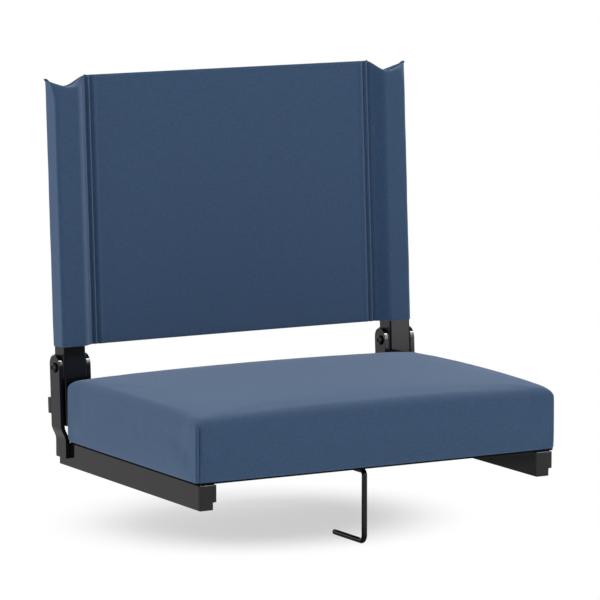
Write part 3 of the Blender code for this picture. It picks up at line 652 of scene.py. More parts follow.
@dataclass(frozen=True)
class Finish:
    """A finish: its material's name, the record's slot, its colour and its roughness.

    A pattern from 0 to 1 blends two shades of the colour. As a pattern goes over a range, the roughness goes
    between two shares. Relief and depth are the strength and the height of what shows in the normal.
    """

    name: str
    slot: str
    colour: Colour
    roughness: float
    shades: Pair = (0.6, 1.4)
    rough_over: Pair = (0.2, 0.8)
    rough_shares: Pair = (1.0, 0.85)
    relief: float = 0.4
    depth: float = 0.0001
    specular: float = 0.5
    bloom: float = 0.0

    def material(self) -> bpy.types.Material:
        """The finish's material, made at its first use."""
        return bpy.data.materials.get(self.name) or self.make()

    def make(self) -> bpy.types.Material:
        """Make the material.

        Returns:
            The material.
        """
        made, bench, shader = start_material(self.name)
        bench.fill(shader, {"Specular IOR Level": self.specular, "Sheen Weight": self.bloom})
        bench.fill(shader, self.look(bench))
        return made

    def look(self, bench: NodeBench) -> dict[str, object]:
        """Make the nodes of this kind of finish.

        Args:
            bench: The material's bench.

        Returns:
            The shader's inputs by name.
        """
        raise NotImplementedError

    def patterned(
        self, bench: NodeBench, shade: object, gloss: object, height: object
    ) -> dict[str, object]:
        """Colour, roughness and normal that follow patterns.

        Args:
            bench: The material's bench.
            shade: Pattern of the colour.
            gloss: Pattern of the roughness.
            height: Pattern of the normal.

        Returns:
            The shader's inputs by name.
        """
        dark, light = (tone(self.colour, times) for times in self.shades)
        rough = (self.roughness * share for share in self.rough_shares)
        return {
            "Base Color": bench.mix(shade, dark, light),
            "Roughness": bench.spread(gloss, *self.rough_over, *rough),
            "Normal": bench.bump(height, self.relief, self.depth),
        }


@dataclass(frozen=True)
class HardFinish(Finish):
    """A skin with grain that is rubbed lighter on its rims."""

    grain: float = 1500.0
    wear: float = 0.3
    worn_shade: float = 2.6

    def rubbed(
        self, bench: NodeBench, place: bpy.types.NodeSocket, look: dict[str, object]
    ) -> bpy.types.NodeSocket:
        """Lighten the rims.

        Args:
            bench: The material's bench.
            place: The piece's own coordinates.
            look: The shader's inputs, whose colour is changed.

        Returns:
            Mask of the rubbed places.
        """
        rim = bench.add("ShaderNodeAttribute", attribute_name=RIM)["Fac"]
        worn = bench.group(wear_group(), Vector=place, Rim=rim, Amount=self.wear)["Mask"]
        look["Base Color"] = bench.mix(worn, look["Base Color"], tone(self.colour, self.worn_shade))
        return worn


@dataclass(frozen=True)
class Coating(HardFinish):
    """Powder coat or moulded skin: grain in the normal, clouds in the roughness, rubbed rims."""

    shades: Pair = (0.82, 1.18)
    rough_over: Pair = (0.25, 0.75)
    rough_shares: Pair = (0.9, 1.12)
    relief: float = 0.35
    depth: float = 0.00004
    worn_gloss: float = 0.12

    def look(self, bench: NodeBench) -> dict[str, object]:
        """Grain and clouds, with rims that are also smoother."""
        place = bench.place()
        grain = bench.group(grain_group(), Vector=place, Scale=self.grain)
        look = self.patterned(bench, grain["Cloud"], grain["Cloud"], grain["Height"])
        worn = self.rubbed(bench, place, look)
        look["Roughness"] = bench.math("MULTIPLY_ADD", worn, -self.worn_gloss, look["Roughness"])
        return look


@dataclass(frozen=True)
class Plating(HardFinish):
    """Zinc plate or black oxide on steel: metal with fine drawing lines, blotches and rubbed rims."""

    shades: Pair = (0.7, 1.2)
    rough_shares: Pair = (0.8, 1.3)
    relief: float = 0.15
    depth: float = 0.00002
    grain: float = 900.0
    wear: float = 0.4
    worn_shade: float = 1.9
    drawing: Place = (400.0, 3000.0, 400.0)

    def look(self, bench: NodeBench) -> dict[str, object]:
        """Blotches in the colour, and drawing lines in the roughness and normal."""
        place = bench.place()
        cloud = bench.group(grain_group(), Vector=place, Scale=self.grain)["Cloud"]
        lines = bench.noise(bench.stretched(place, self.drawing), 1.0, 3.0)
        look = self.patterned(bench, cloud, lines, lines)
        self.rubbed(bench, place, look)
        return look | {"Metallic": 1.0}


@dataclass(frozen=True)
class WovenCloth(Finish):
    """Plain-woven polyester: threads in colour and normal, and the pale bloom of its fibres at a slant."""

    shades: Pair = (0.55, 1.35)
    rough_over: Pair = (0.1, 0.9)
    rough_shares: Pair = (1.1, 1.0)
    relief: float = 0.3
    depth: float = 0.00012
    specular: float = 0.12
    bloom: float = 0.38
    bloom_colour: Colour = (0.56, 0.73, 1.0)
    bloom_spread: float = 0.7
    pitch: float = 0.0007
    slub: float = 1.2

    def look(self, bench: NodeBench) -> dict[str, object]:
        """The weave on the cloth's own map, under the bloom."""
        threads = bench.add("ShaderNodeUVMap", uv_map=CLOTH_MAP)["UV"]
        weave = bench.group(weave_group(), Vector=threads, Pitch=self.pitch, Slub=self.slub)
        look = self.patterned(bench, weave["Shade"], weave["Shade"], weave["Height"])
        return look | {"Sheen Roughness": self.bloom_spread, "Sheen Tint": (*self.bloom_colour, 1.0)}


@dataclass(frozen=True)
class Fibres(Finish):
    """Thread, lining or veneer: streaks of noise in colour, roughness and normal."""

    streak: Place = (1400.0, 1400.0, 1400.0)
    detail: float = 5.0

    def look(self, bench: NodeBench) -> dict[str, object]:
        """Streaks along the fibres."""
        streaks = bench.noise(bench.stretched(bench.place(), self.streak), 1.0, self.detail)
        return self.patterned(bench, streaks, streaks, streaks)


CLOTH_COLOUR: Colour = (0.0050, 0.0300, 0.0790)
FRAME_COAT = Coating(
    "frame_coat", "frame_black", (0.0020, 0.0020, 0.0021), 0.08, depth=0.000006, specular=0.42
)
PLUG_SKIN = Coating("plug_skin", "plug_black", (0.0030, 0.0030, 0.0031), 0.28, grain=2200.0, wear=0.2)
NYLON = Coating("nylon_pad", "nylon_black", (0.0040, 0.0040, 0.0040), 0.4, grain=2600.0, wear=0.1)
BOLT_OXIDE = Plating("bolt_oxide", "bolt_black", (0.045, 0.045, 0.047), 0.28)
ZINC_PLATE = Plating("zinc_plate", "zinc", (0.55, 0.56, 0.58), 0.33)
SEAT_CLOTH = WovenCloth("seat_weave", "seat_cloth", CLOTH_COLOUR, 0.8)
BACK_CLOTH = WovenCloth("back_weave", "back_cloth", CLOTH_COLOUR, 0.8)
THREAD = Fibres(
    "seam_thread", "back_cloth", (0.004, 0.014, 0.040), 0.7, streak=(2500.0, 2500.0, 900.0), bloom=0.1
)
LINING = Fibres("spun_lining", "lining", (0.015, 0.015, 0.016), 0.9, bloom=0.2)
# Near-black strip round the cushion's lower edge: painted shade for the shade that falls under that edge.
PAINTED_SHADE_STRIP = Fibres(
    "hem_tape", "lining", (0.0015, 0.002, 0.0035), 0.9, streak=(1800.0, 1800.0, 1800.0), specular=0.05
)
BOARD_WOOD = Fibres(
    "seat_plywood", "plywood", (0.48, 0.33, 0.19), 0.7, shades=(0.65, 1.15), rough_shares=(1.0, 0.8),
    relief=0.2, depth=0.0002, streak=(12.0, 260.0, 700.0), detail=6.0,
)


# The chair


def joint_axis(name: str) -> tuple[float, float]:
    """Y and Z of a joint's axis."""
    _, y, z = next(joint["pos_m"] for joint in frame["joints"] if joint["name"] == name)
    return y, z


@dataclass(frozen=True)
class Hinge:
    """Axes of the leaning backrest: across, depth back from the uprights' middle, and along the uprights."""

    lean: float = math.radians(3.1)

    def world(self, points: Array) -> Array:
        """Turn points from the backrest's axes, about the hinge, into the chair's.

        Args:
            points: Points in the backrest's axes, (..., 3).

        Returns:
            The points in the chair's axes.
        """
        y, z = joint_axis("back_fold")
        across, depth, along = points[..., 0], points[..., 1], points[..., 2]
        back = y + depth * math.cos(self.lean) + along * math.sin(self.lean)
        up = z - depth * math.sin(self.lean) + along * math.cos(self.lean)
        return np.stack([across, back, up], axis=-1)


HINGE = Hinge()


def node_box(node: str) -> tuple[Array, Array]:
    """Lowest and highest corner of a solid."""
    low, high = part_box(node)
    return np.array(low), np.array(high)


def node_middle(node: str) -> Array:
    """Middle of a solid's box."""
    low, high = node_box(node)
    return (low + high) / 2


@dataclass(frozen=True)
class Head:
    """Radius and height of a screw's or rivet's head, whose seat is on Z = 0."""

    radius: float
    height: float

    def screw(self) -> Array:
        """Pan head with a hexagon socket: an ellipse's quarter over a short rim.

        Returns:
            Rings of points about the Z axis.
        """
        tall, socket = self.height, self.radius * 0.42
        land = socket * 1.2
        dome = np.linspace(0, math.pi / 2, 6)
        reach, rise = land + (self.radius - land) * np.sin(dome), 0.3 + 0.7 * np.cos(dome)
        crown = np.stack([reach, tall * rise], axis=1)
        hollow = [(0.0, tall * 0.5), (socket * 0.92, tall * 0.5)]
        hollow += [(socket, tall * 0.58), (socket, tall * 0.97)]
        foot = [(self.radius, 0.0), (0.0, -0.0001)]
        return turned(np.concatenate([hollow, crown, foot]), 36, socket_rings=len(hollow))

    def rivet(self) -> Array:
        """Round head: an ellipse's quarter with a small dimple.

        Returns:
            Rings of points about the Z axis.
        """
        wide, tall = self.radius, self.height
        dome = np.linspace(0.5, math.pi / 2, 6)
        crown = np.stack([wide * np.sin(dome), tall * np.cos(dome) ** 0.6], axis=1)
        dimple = [(0.0, tall * 0.55), (wide * 0.28, tall * 0.6), (wide * 0.36, tall * 0.92)]
        return turned(np.concatenate([dimple, crown, [(0.0, -0.0001)]]), 28)


SCREW = Head(0.004, 0.0024)
RIVET = Head(0.003, 0.0013)


@dataclass(frozen=True)
class SeatFrame:
    """Rails with their end caps, and the straps between them."""

    foot_width: float = 0.016
    ledge_height: float = 0.0081
    corner: float = 0.0009
    tube_rim: float = 0.0003
    cap_rim: float = 0.0007
    hairline: float = 0.0002
    strap_corner: float = 0.0006
    strap_rim: float = 0.00048

    def section(self, node: str) -> Array:
        """Outline of a rail or of its cap: a box with a ledge along its right side.

        Args:
            node: The solid.

        Returns:
            The outline in X and Z.
        """
        (left, _, foot), (right, _, top) = node_box(node)
        step, ledge = left + self.foot_width, foot + self.ledge_height
        corners = [(left, foot), (step, foot), (step, ledge), (right, ledge), (right, top), (left, top)]
        return arc_corners(np.array(corners), self.corner, 4)

    def build(self) -> None:
        """Build and dress the rails, caps and straps."""
        for side in Side:
            rail = f"{side.word}_rail"
            low, high = node_box(rail)
            tube = prism(self.section(rail), low[1], high[1], Along.Y, self.tube_rim)
            seat_piece(closed_piece(f"rail_tube_{side.word}", *tube), Body.SEAT, FRAME_COAT, rail)
            for end in ENDS:
                self.build_cap(f"rail_plug_{end}_{side.word}", end, rail, f"rail_cap_{end}_{side.word}")
        for end in ENDS:
            node = f"{end}_strap"
            low, high = node_box(node)
            size = high - low
            outline = rounded_box(size[1], size[2], self.strap_corner, 3, node_middle(node)[1:])
            strap = prism(outline, low[0], high[0], Along.X, self.strap_rim)
            seat_piece(closed_piece(f"seat_strap_{end}", *strap), Body.SEAT, FRAME_COAT, node)

    def build_cap(self, node: str, end: str, rail: str, name: str) -> None:
        """Head of a rail's plug, which closes the tube's end with a hairline between them.

        Args:
            node: The plug's solid.
            end: Which end of the rail it closes, front or rear.
            rail: The rail's solid.
            name: The new piece's name.
        """
        start, stop = node_box(node)[0][1], node_box(node)[1][1]
        tube_low, tube_high = node_box(rail)
        if end == "front":
            stop = tube_low[1] - self.hairline
        else:
            start = tube_high[1] + self.hairline
        cap = prism(self.section(node), start, stop, Along.Y, self.cap_rim, 4)
        seat_piece(closed_piece(name, *cap), Body.SEAT, PLUG_SKIN, node)


@dataclass(frozen=True)
class BackHinge:
    """Joggled ears on the rails, their pads, and the pivot bolts."""

    thickness: float = 0.005
    edge: float = 0.0004
    foot_corner: float = 0.002
    foot_gap: float = 0.0003
    joggle_above_rail: float = 0.0022
    joggle_height: float = 0.015
    front_reach: float = 0.0109
    rear_reach: float = 0.0123
    over_pivot: float = 0.0137
    pad_corner: float = 0.002
    pad_rim: float = 0.0002
    pad_below_pivot: float = 0.013
    head_radius: float = 0.0055
    head_height: float = 0.0027
    head_skirt: float = 0.34
    head_seat: float = 0.0002
    socket_radius: float = 0.0026
    socket_depth: float = 0.0013
    socket_land: float = 1.18

    def ear_rings(self, node: str, hand: int) -> tuple[Array, Array]:
        """A rounded section carried up the ear.

        At each height the section is a rounded box, as thick as the ear and as deep as its side view there.
        The side view has a foot with round lower corners, a straight run that leans from the joggle on, and a
        half circle on top. The joggle moves the section out by half a cosine wave.

        Args:
            node: The ear's solid.
            hand: Sign of X from the rail to the ear.

        Returns:
            Rings of points and their shares of rim.
        """
        low, high = node_box(node)
        pivot_y, pivot_z = joint_axis("back_fold")
        rail_rear, rail_top = node_box("left_rail")[1][1:]
        bend_low = rail_top + self.joggle_above_rail
        bend_high = bend_low + self.joggle_height
        radius = (self.front_reach + self.rear_reach) / 2
        round_middle = self.over_pivot - radius
        upright, leaning = math.cos(HINGE.lean), math.sin(HINGE.lean)

        straight = np.concatenate([
            low[2] + self.foot_corner * (1 - np.cos(np.linspace(0.25, math.pi / 2, 6))),
            np.linspace(low[2] + self.foot_corner, bend_low, 6)[1:],
            np.linspace(bend_low, bend_high, 12)[1:],
            np.linspace(bend_high, pivot_z + round_middle * upright, 8)[1:],
        ])
        arc = np.linspace(0, math.pi / 2, 22)[1:-1]
        along = np.concatenate([(straight - pivot_z) / upright, round_middle + radius * np.sin(arc)])
        level = np.concatenate([straight, pivot_z + along[-len(arc):] * upright])

        foot_low, foot_high = low[1], rail_rear + self.foot_gap
        top_middle = pivot_y + (self.rear_reach - self.front_reach) / 2 * upright + along * leaning
        share = held((level - bend_low) / (bend_high - bend_low))
        middle = (1 - share) * (foot_low + foot_high) / 2 + share * top_middle
        half = (1 - share) * (foot_high - foot_low) / 2 + share * radius
        below = held((low[2] + self.foot_corner - level) / self.foot_corner)
        half = half - self.foot_corner * (1 - np.sqrt(1 - below**2))
        over = held((along - round_middle) / radius)
        half = np.where(over > 0, radius * np.sqrt(1 - over**2), half)

        inner_foot, outer_top = (high[0], low[0]) if hand < 0 else (low[0], high[0])
        reach = abs(outer_top - inner_foot) - self.thickness
        centre_x = inner_foot + hand * (self.thickness / 2 + reach * half_wave(share))

        circle = rounded_box(2, 2, 1.0, 5)
        turn = np.arctan2(circle[:, 1], circle[:, 0])
        corner_sign = np.sign(np.stack([np.cos(turn), np.sin(turn)], axis=1))
        soft = np.minimum(self.edge, half * 0.6)[:, None]
        x = corner_sign[None, :, 0] * (self.thickness / 2 - soft) + soft * circle[None, :, 0]
        y = corner_sign[None, :, 1] * (half[:, None] - soft) + soft * circle[None, :, 1]
        z = np.broadcast_to(level[:, None], x.shape)
        rings = np.stack([centre_x[:, None] + x, middle[:, None] + y, z], axis=2)
        return rings, np.full(len(level), 0.25) + 0.6 * (over > 0.2)

    def build(self) -> None:
        """Build and dress the ears, pads, bolts and nuts."""
        for side in Side:
            for face, hand in (("outer", side.value), ("inner", -side.value)):
                place = f"{side.word}_{face}"
                node = f"hinge_plate_{place}"
                ear = closed_piece(f"hinge_ear_{place}", *self.ear_rings(node, hand))
                seat_piece(ear, Body.SEAT, FRAME_COAT, node)
                self.build_pad(f"hinge_spacer_{place}", f"hinge_pad_{place}")
            self.build_head(f"pivot_bolt_{side.word}", f"pivot_head_{side.word}", side.value)
            self.build_head(f"pivot_nut_{side.word}", f"pivot_cap_{side.word}", -side.value)

    def build_pad(self, node: str, name: str) -> None:
        """Nylon pad between an ear and an upright: a flat box that leans with the backrest.

        Args:
            node: The pad's solid.
            name: The new piece's name.
        """
        low, high = node_box(node)
        depth = self.front_reach + self.rear_reach
        height = self.over_pivot + self.pad_below_pivot
        centre = ((self.rear_reach - self.front_reach) / 2, self.over_pivot - height / 2)
        outline = rounded_box(depth, height, self.pad_corner, 5, centre)
        rings, worn = prism(outline, low[0], high[0], Along.X, self.pad_rim, 2)
        seat_piece(closed_piece(name, HINGE.world(rings), worn), Body.SEAT, NYLON, node)

    def build_head(self, node: str, name: str, hand: int) -> None:
        """Domed head of a bolt or nut with a hexagon socket, turned about the pivot.

        Args:
            node: The solid.
            name: The new piece's name.
            hand: Sign of X that the head points to.
        """
        low, high = node_box(node)
        seat = (high[0] - self.head_height) if hand > 0 else (low[0] + self.head_height)
        radius, tall, socket = self.head_radius, self.head_height, self.socket_radius
        floor, land = tall - self.socket_depth, socket * self.socket_land
        dome = np.linspace(0, math.pi / 2, 8)
        rise = self.head_skirt + (1 - self.head_skirt) * np.cos(dome)
        crown = np.stack([land + (radius - land) * np.sin(dome), tall * rise], axis=1)
        hollow = [(0.0, floor), (socket * 0.9, floor), (socket, tall - self.socket_depth * 0.85)]
        hollow.append((socket, tall - self.head_seat))
        foot = [(radius, 0.0), (radius * 0.7, -self.head_seat), (0.0, -self.head_seat)]
        rings = turned(np.concatenate([hollow, crown, foot]), 48, socket_rings=len(hollow))
        pivot_y, pivot_z = joint_axis("back_fold")
        x, y, z = seat + hand * rings[..., 2], pivot_y + rings[..., 0], pivot_z + rings[..., 1]
        worn = np.concatenate([np.zeros(3), [0.8], np.linspace(0.8, 0.2, len(dome)), np.zeros(3)])
        head = closed_piece(name, np.stack([x, y, z], axis=2), worn, HEAD_CREASE)
        seat_piece(head, Body.SEAT, BOLT_OXIDE, node)


@dataclass(frozen=True)
class BackFrame:
    """Uprights with their plugs, and the stop bar across their rear."""

    width: float = 0.0262
    depth: float = 0.0246
    corner: float = 0.002
    rise: float = 0.292
    drop: float = 0.064
    tube_rim: float = 0.0003
    plug_head: float = 0.002
    plug_rim: float = 0.0006
    bar_height: float = 0.0178
    bar_thickness: float = 0.007
    bar_below_pivot: float = 0.0425
    bar_corner: float = 0.0012
    bar_rim: float = 0.0008
    gap: float = 0.0003

    def build(self) -> None:
        """Build and dress the uprights, plugs, bar and screws."""
        low, high = -self.drop + self.plug_head + self.gap, self.rise - self.plug_head - self.gap
        for side in Side:
            node = f"{side.word}_upright"
            outline = rounded_box(self.width, self.depth, self.corner, 6, (node_middle(node)[0], 0.0))
            rings, worn = prism(outline, low, high, Along.Z, self.tube_rim)
            tube = closed_piece(f"back_tube_{side.word}", HINGE.world(rings), worn)
            seat_piece(tube, Body.BACK, FRAME_COAT, node)
            ends = (("bottom", -self.drop, low - self.gap), ("top", high + self.gap, self.rise))
            for end, start, stop in ends:
                rings, worn = prism(outline, start, stop, Along.Z, self.plug_rim)
                cap = closed_piece(f"back_cap_{end}_{side.word}", HINGE.world(rings), worn)
                seat_piece(cap, Body.BACK, PLUG_SKIN, f"upright_plug_{end}_{side.word}")
        self.build_bar()

    def build_bar(self) -> None:
        """Flat bar behind the uprights with its four screws."""
        low, high = node_box("stop_bar")
        middle = self.depth / 2 + self.gap + self.bar_thickness / 2
        centre = (middle, -self.bar_below_pivot)
        outline = rounded_box(self.bar_thickness, self.bar_height, self.bar_corner, 4, centre)
        rings, worn = prism(outline, low[0], high[0], Along.X, self.bar_rim)
        bar = closed_piece("back_stop_bar", HINGE.world(rings), worn)
        seat_piece(bar, Body.BACK, FRAME_COAT, "stop_bar")
        seat = middle + self.bar_thickness / 2 + self.gap
        head = SCREW.screw()
        for number in range(1, 5):
            node = f"stop_screw_{number}"
            across = node_middle(node)[0] + head[..., 0]
            rings = np.stack([across, seat + head[..., 2], head[..., 1] - self.bar_below_pivot], axis=2)
            piece = closed_piece(f"bar_screw_{number}", HINGE.world(rings), crease=HEAD_CREASE)
            seat_piece(piece, Body.BACK, BOLT_OXIDE, node)


@dataclass(frozen=True)
class BenchHook:
    """Bent rod with collars, in clips riveted under the straps, and the seat's screws."""

    rod: float = 0.006
    top_bend: float = 0.005
    bend: float = 0.007
    foot: float = 0.066
    collar_rim: float = 0.0006
    clip_thickness: float = 0.0015
    clip_flange: float = 0.010
    clip_rim: float = 0.0002
    clearance: float = 0.0003

    def build(self) -> None:
        """Build and dress the rod, collars, clips, rivets and screws."""
        self.build_rod()
        for end in ENDS:
            self.build_collar(f"hook_collar_{end}", f"hook_ring_{end}")
            self.build_clip(f"hook_clip_{end}", f"hook_saddle_{end}")
        for number in range(1, 5):
            self.build_fastener(f"clip_rivet_{number}", f"saddle_rivet_{number}", RIVET.rivet(), RIVET.height)
            self.build_fastener(f"seat_screw_{number}", f"strap_screw_{number}", SCREW.screw(), SCREW.height)

    def build_rod(self) -> None:
        """Rod from the arm's rear end, down the drop, to the toe of the foot, with round bends."""
        low, high = node_box("bench_hook")
        arm_y, arm_z = joint_axis("hook_swing")
        foot_z, arm_end = low[2] + self.rod / 2, high[1]
        angle = np.linspace(0, math.pi / 2, 12)
        inner, top = self.bend, self.top_bend
        upper = np.stack([arm_y + top * (1 - np.sin(angle)), arm_z - top * (1 - np.cos(angle))], axis=1)
        lower = np.stack([arm_y + inner * (1 - np.cos(angle)), foot_z + inner * (1 - np.sin(angle))], axis=1)
        arm = np.stack([np.linspace(arm_end, arm_y + top, 14)[:-1], np.full(13, arm_z)], axis=1)
        drop = np.stack([np.full(8, arm_y), np.linspace(arm_z - top, foot_z + inner, 10)[1:-1]], axis=1)
        toe = np.stack([np.linspace(arm_y + inner, arm_y + self.foot, 8)[1:], np.full(7, foot_z)], axis=1)
        flat = np.concatenate([arm, upper, drop, lower, toe])
        path = np.concatenate([np.zeros((len(flat), 1)), flat], axis=1)
        rings = swept_rod(path, self.rod / 2, 24)
        worn = held(np.linspace(-2.0, 1.0, len(rings))) * 0.6
        seat_piece(closed_piece("hook_rod", rings, worn), Body.HOOK, FRAME_COAT, "bench_hook")

    def build_collar(self, node: str, name: str) -> None:
        """Nylon ring round the rod with round rims.

        Args:
            node: The ring's solid.
            name: The new piece's name.
        """
        low, high = node_box(node)
        _, half, outer = (high - low) / 2
        rim, slant = self.collar_rim, self.collar_rim * 0.3
        edge = [(self.rod / 2, half), (outer - rim, half), (outer - slant, half - slant), (outer, half - rim)]
        profile = np.array(edge + [(radius, -height) for radius, height in edge[::-1]])
        rings = turned(profile, 32)
        along = node_middle(node)[1] + rings[..., 2]
        up = joint_axis("hook_swing")[1] + rings[..., 1]
        ring = closed_piece(name, np.stack([rings[..., 0], along, up], axis=2))
        seat_piece(ring, Body.HOOK, NYLON, node)

    def build_clip(self, node: str, name: str) -> None:
        """Strip of steel bent to a U round the rod, with a flange on each side: an outline carried along Y.

        Args:
            node: The clip's solid.
            name: The new piece's name.
        """
        low, high = node_box(node)
        top, arm_z = high[2], joint_axis("hook_swing")[1]
        inner = self.rod / 2 + self.clearance
        outer = inner + self.clip_thickness
        under = top - self.clip_thickness
        flange = outer + self.clip_flange
        angle = np.linspace(math.pi, 2 * math.pi, 17)
        below = np.stack([outer * np.cos(angle), arm_z + outer * np.sin(angle)], axis=1)
        above = np.stack([inner * np.cos(angle[::-1]), arm_z + inner * np.sin(angle[::-1])], axis=1)
        outline = np.concatenate([
            [(-flange, top), (-flange, under), (-outer, under)], below,
            [(outer, under), (flange, under), (flange, top), (inner, top)], above, [(-inner, top)],
        ])
        clip = prism(outline, low[1], high[1], Along.Y, self.clip_rim, 2)
        seat_piece(closed_piece(name, *clip), Body.SEAT, ZINC_PLATE, node)

    def build_fastener(self, node: str, name: str, head: Array, height: float) -> None:
        """A head that points down at the underside of what it holds.

        Args:
            node: The fastener's solid.
            name: The new piece's name.
            head: Its head, with its seat on Z = 0.
            height: Height of the head.
        """
        x, y, _ = node_middle(node)
        seat = node_box(node)[0][2] + height
        rings = np.stack([x + head[..., 0], y - head[..., 1], seat - head[..., 2]], axis=2)
        seat_piece(closed_piece(name, rings, crease=HEAD_CREASE), Body.SEAT, ZINC_PLATE, node)


@dataclass(frozen=True)
class BackSling:
    """One tube of cloth: a panel of two plies, sewn down each side, with sleeves over the uprights.

    The waves along the sleeves are given as size, turns along, turns across and start.
    """

    posts: BackFrame = BackFrame()
    bottom: float = 0.0226
    top: float = 0.3178
    cloth: float = 0.0011
    ease: float = 0.0014
    corner: float = 0.004
    seam_to_upright: float = 0.0148
    stitch_spacing: float = 0.006
    slope_overlap: float = 0.0018
    slope_gap: float = 0.0008
    near_seam: float = 0.012
    seam_ridge: float = 0.0006
    seam_pull: float = 0.0020
    seam_pull_width: float = 0.0016
    puff_share: float = 0.25
    puff_from_seam: float = 0.0042
    puff_width: float = 0.0022
    panel_half: float = 0.0024
    bow: float = 0.002
    slack: float = 0.0007
    slack_wave: Pair = (14.0, 0.5)
    tip_flare: float = 0.0054
    tip_drop: float = 0.0031
    top_dip: float = 0.0102
    dip_reach: float = 0.44
    top_setback: float = 0.0045
    top_half: float = 0.00115
    panel_power: float = 4.0
    sleeve_power: float = 7.0
    sleeve_from: float = 0.35
    corner_power: float = 2.0
    corner_from: float = 0.7
    corner_sweep: float = 0.009
    roll_gap: float = 0.0003
    front_lip: float = 0.0010
    lip_ramp: float = 5.0
    wave: float = 0.00018
    waves: tuple[tuple[float, ...], ...] = ((1.0, 61.0, 9.0, 0.0), (0.6, 137.0, 31.0, 1.3))
    wave_from: float = 0.12
    wave_ramp: float = 4.0
    pucker: float = 0.00016
    pucker_pitch: float = 0.0083
    pucker_drift: Pair = (2.0, 90.0)
    pucker_width: float = 0.004
    hem_rise: float = 0.0004
    hem_below_top: float = 0.0026
    hem_half: float = 0.0016
    edge_roll: float = 0.0004
    edge_height: float = 0.0012
    stitch_pitch: float = 0.0024
    stitch_length: float = 0.0018
    stitch_radius: float = 0.00036
    stitch_ends: float = 0.003
    stitch_proud: float = 0.35
    stitch_slant: float = 0.12
    stitch_arch: float = 0.3
    top_proud: float = 0.0002
    rows: int = 104
    top_rows: int = 34

    @property
    def centre(self) -> float:
        """Where the right upright's middle is across."""
        return float(node_middle("right_upright")[0])

    @property
    def seam(self) -> float:
        """Where the outer stitch line is across."""
        return self.centre - self.posts.width / 2 - self.seam_to_upright

    @property
    def inner_seam(self) -> float:
        """Where the inner stitch line is across."""
        return self.seam - self.stitch_spacing

    @property
    def outer(self) -> float:
        """Where the sleeve's outer side is across."""
        return self.centre + self.posts.width / 2 + self.ease

    def quarter(self) -> tuple[Array, Array]:
        """Front right quarter of the section, from the panel's middle to the middle of the sleeve's side.

        The panel is level. At each stitch line a bell curve draws the plies together, and between the two
        lines they swell. Past them half a cosine wave carries the cloth forward onto the upright, whose
        corner is an arc.

        Returns:
            Place across and half thickness of each point.
        """
        seam, inner_seam = self.seam, self.inner_seam
        deep = self.posts.depth / 2 + self.ease
        slope_start = seam + self.slope_gap
        slope_end = seam + self.seam_to_upright + self.slope_overlap
        panel = np.linspace(0, inner_seam - self.near_seam, 9)
        near = np.linspace(inner_seam - self.near_seam, slope_start, 40)[1:]
        slope = np.linspace(slope_start, slope_end, 15)[1:]
        flat = np.linspace(slope_end, self.outer - self.corner, 15)[1:]
        turn = np.linspace(0, math.pi / 2, 12)[1:]
        side = np.linspace(deep - self.corner, 0, 8)[1:]
        rounded = self.outer - self.corner * (1 - np.sin(turn))
        across = np.concatenate([panel, near, slope, flat, rounded, np.full(len(side), self.outer)])
        forward = half_wave((across - slope_start) / (slope_end - slope_start))
        half = self.panel_half + (deep - self.panel_half) * forward
        pull = bell(across[:, None] - np.array([seam, inner_seam]), self.seam_pull_width).sum(1)
        between = held((across - inner_seam) / self.stitch_spacing)
        half += self.seam_ridge * np.sin(math.pi * between) ** 2 - self.seam_pull * pull
        puff = bell(across - inner_seam + self.puff_from_seam, self.puff_width)
        half += self.puff_share * self.seam_pull * puff
        half[-len(turn) - len(side):-len(side)] = deep - self.corner * (1 - np.cos(turn))
        half[-len(side):] = side
        return across, half

    def section(self) -> tuple[Array, Array]:
        """The whole closed section, from the middle of the front panel to the right and round.

        Returns:
            Place across, and half thickness with the sign of its face, front being negative.
        """
        across, half = self.quarter()
        x = np.concatenate([across, across[-2::-1], -across[1:], -across[-2:0:-1]])
        thick = np.concatenate([-half, half[-2::-1], half[1:], -half[-2:0:-1]])
        return x, thick

    def surface(self) -> Array:
        """Outer surface of the tube of cloth: rings from its open bottom to the flat seam along its top.

        Up to the uprights' tops the section is carried straight up. Above them the cloth rolls in to the seam
        along a quarter of an ellipse of power p: with a from 0 to 90 degrees, it has gone sin(a)^(2/p) of the
        way up and 1 - cos(a)^(2/p) of the way in. On the sleeves' fronts p is high, so that the cloth stays
        upright as long as it can, and ends in a small lip. At their outer corners p is 2 and the roll starts
        lower. Over each upright the seam dips by half a cosine wave, comes up again to its flared tip by a
        quarter of a sine wave, and lies back by as much as it dips. The panel bows back by a parabola, more
        and less along a slow wave.

        Returns:
            Rings of points in the backrest's axes.
        """
        x, thick = self.section()
        start, tip = self.seam - self.stitch_spacing / 4, self.outer + self.tip_flare
        past = np.clip(np.abs(x) - start, 0, None)
        flared = np.sign(x) * (np.abs(x) + past * (tip - self.outer) / (self.outer - start))
        share = past / (self.outer - start)
        corner = eased((share - self.corner_from) / (1 - self.corner_from))
        front = self.panel_power + (self.sleeve_power - self.panel_power) * eased(share / self.sleeve_from)
        power = front * (1 - corner) + self.corner_power * corner
        roll_start = self.posts.rise + self.ease + self.roll_gap - self.corner_sweep * corner
        lower = self.bottom + (roll_start - self.bottom) * np.linspace(0, 1, self.rows)[:, None]
        turn = math.pi / 2 * eased(np.linspace(0, 1, self.top_rows)[1:, None])
        height = np.concatenate([lower, np.repeat(roll_start[None], len(turn), axis=0)])
        climb = np.concatenate([0 * lower, np.sin(turn) ** (2 / power)])
        rolled = np.concatenate([0 * lower, 1 - np.cos(turn).clip(0) ** (2 / power)])

        rising = np.sin(math.pi / 2 * held((1 - share) / self.dip_reach))
        bend = np.minimum(half_wave(share / self.dip_reach), rising)
        top = self.top - self.tip_drop * share - self.top_dip * bend
        flat = self.top_setback * bend + np.sign(thick) * np.minimum(np.abs(thick), self.top_half)

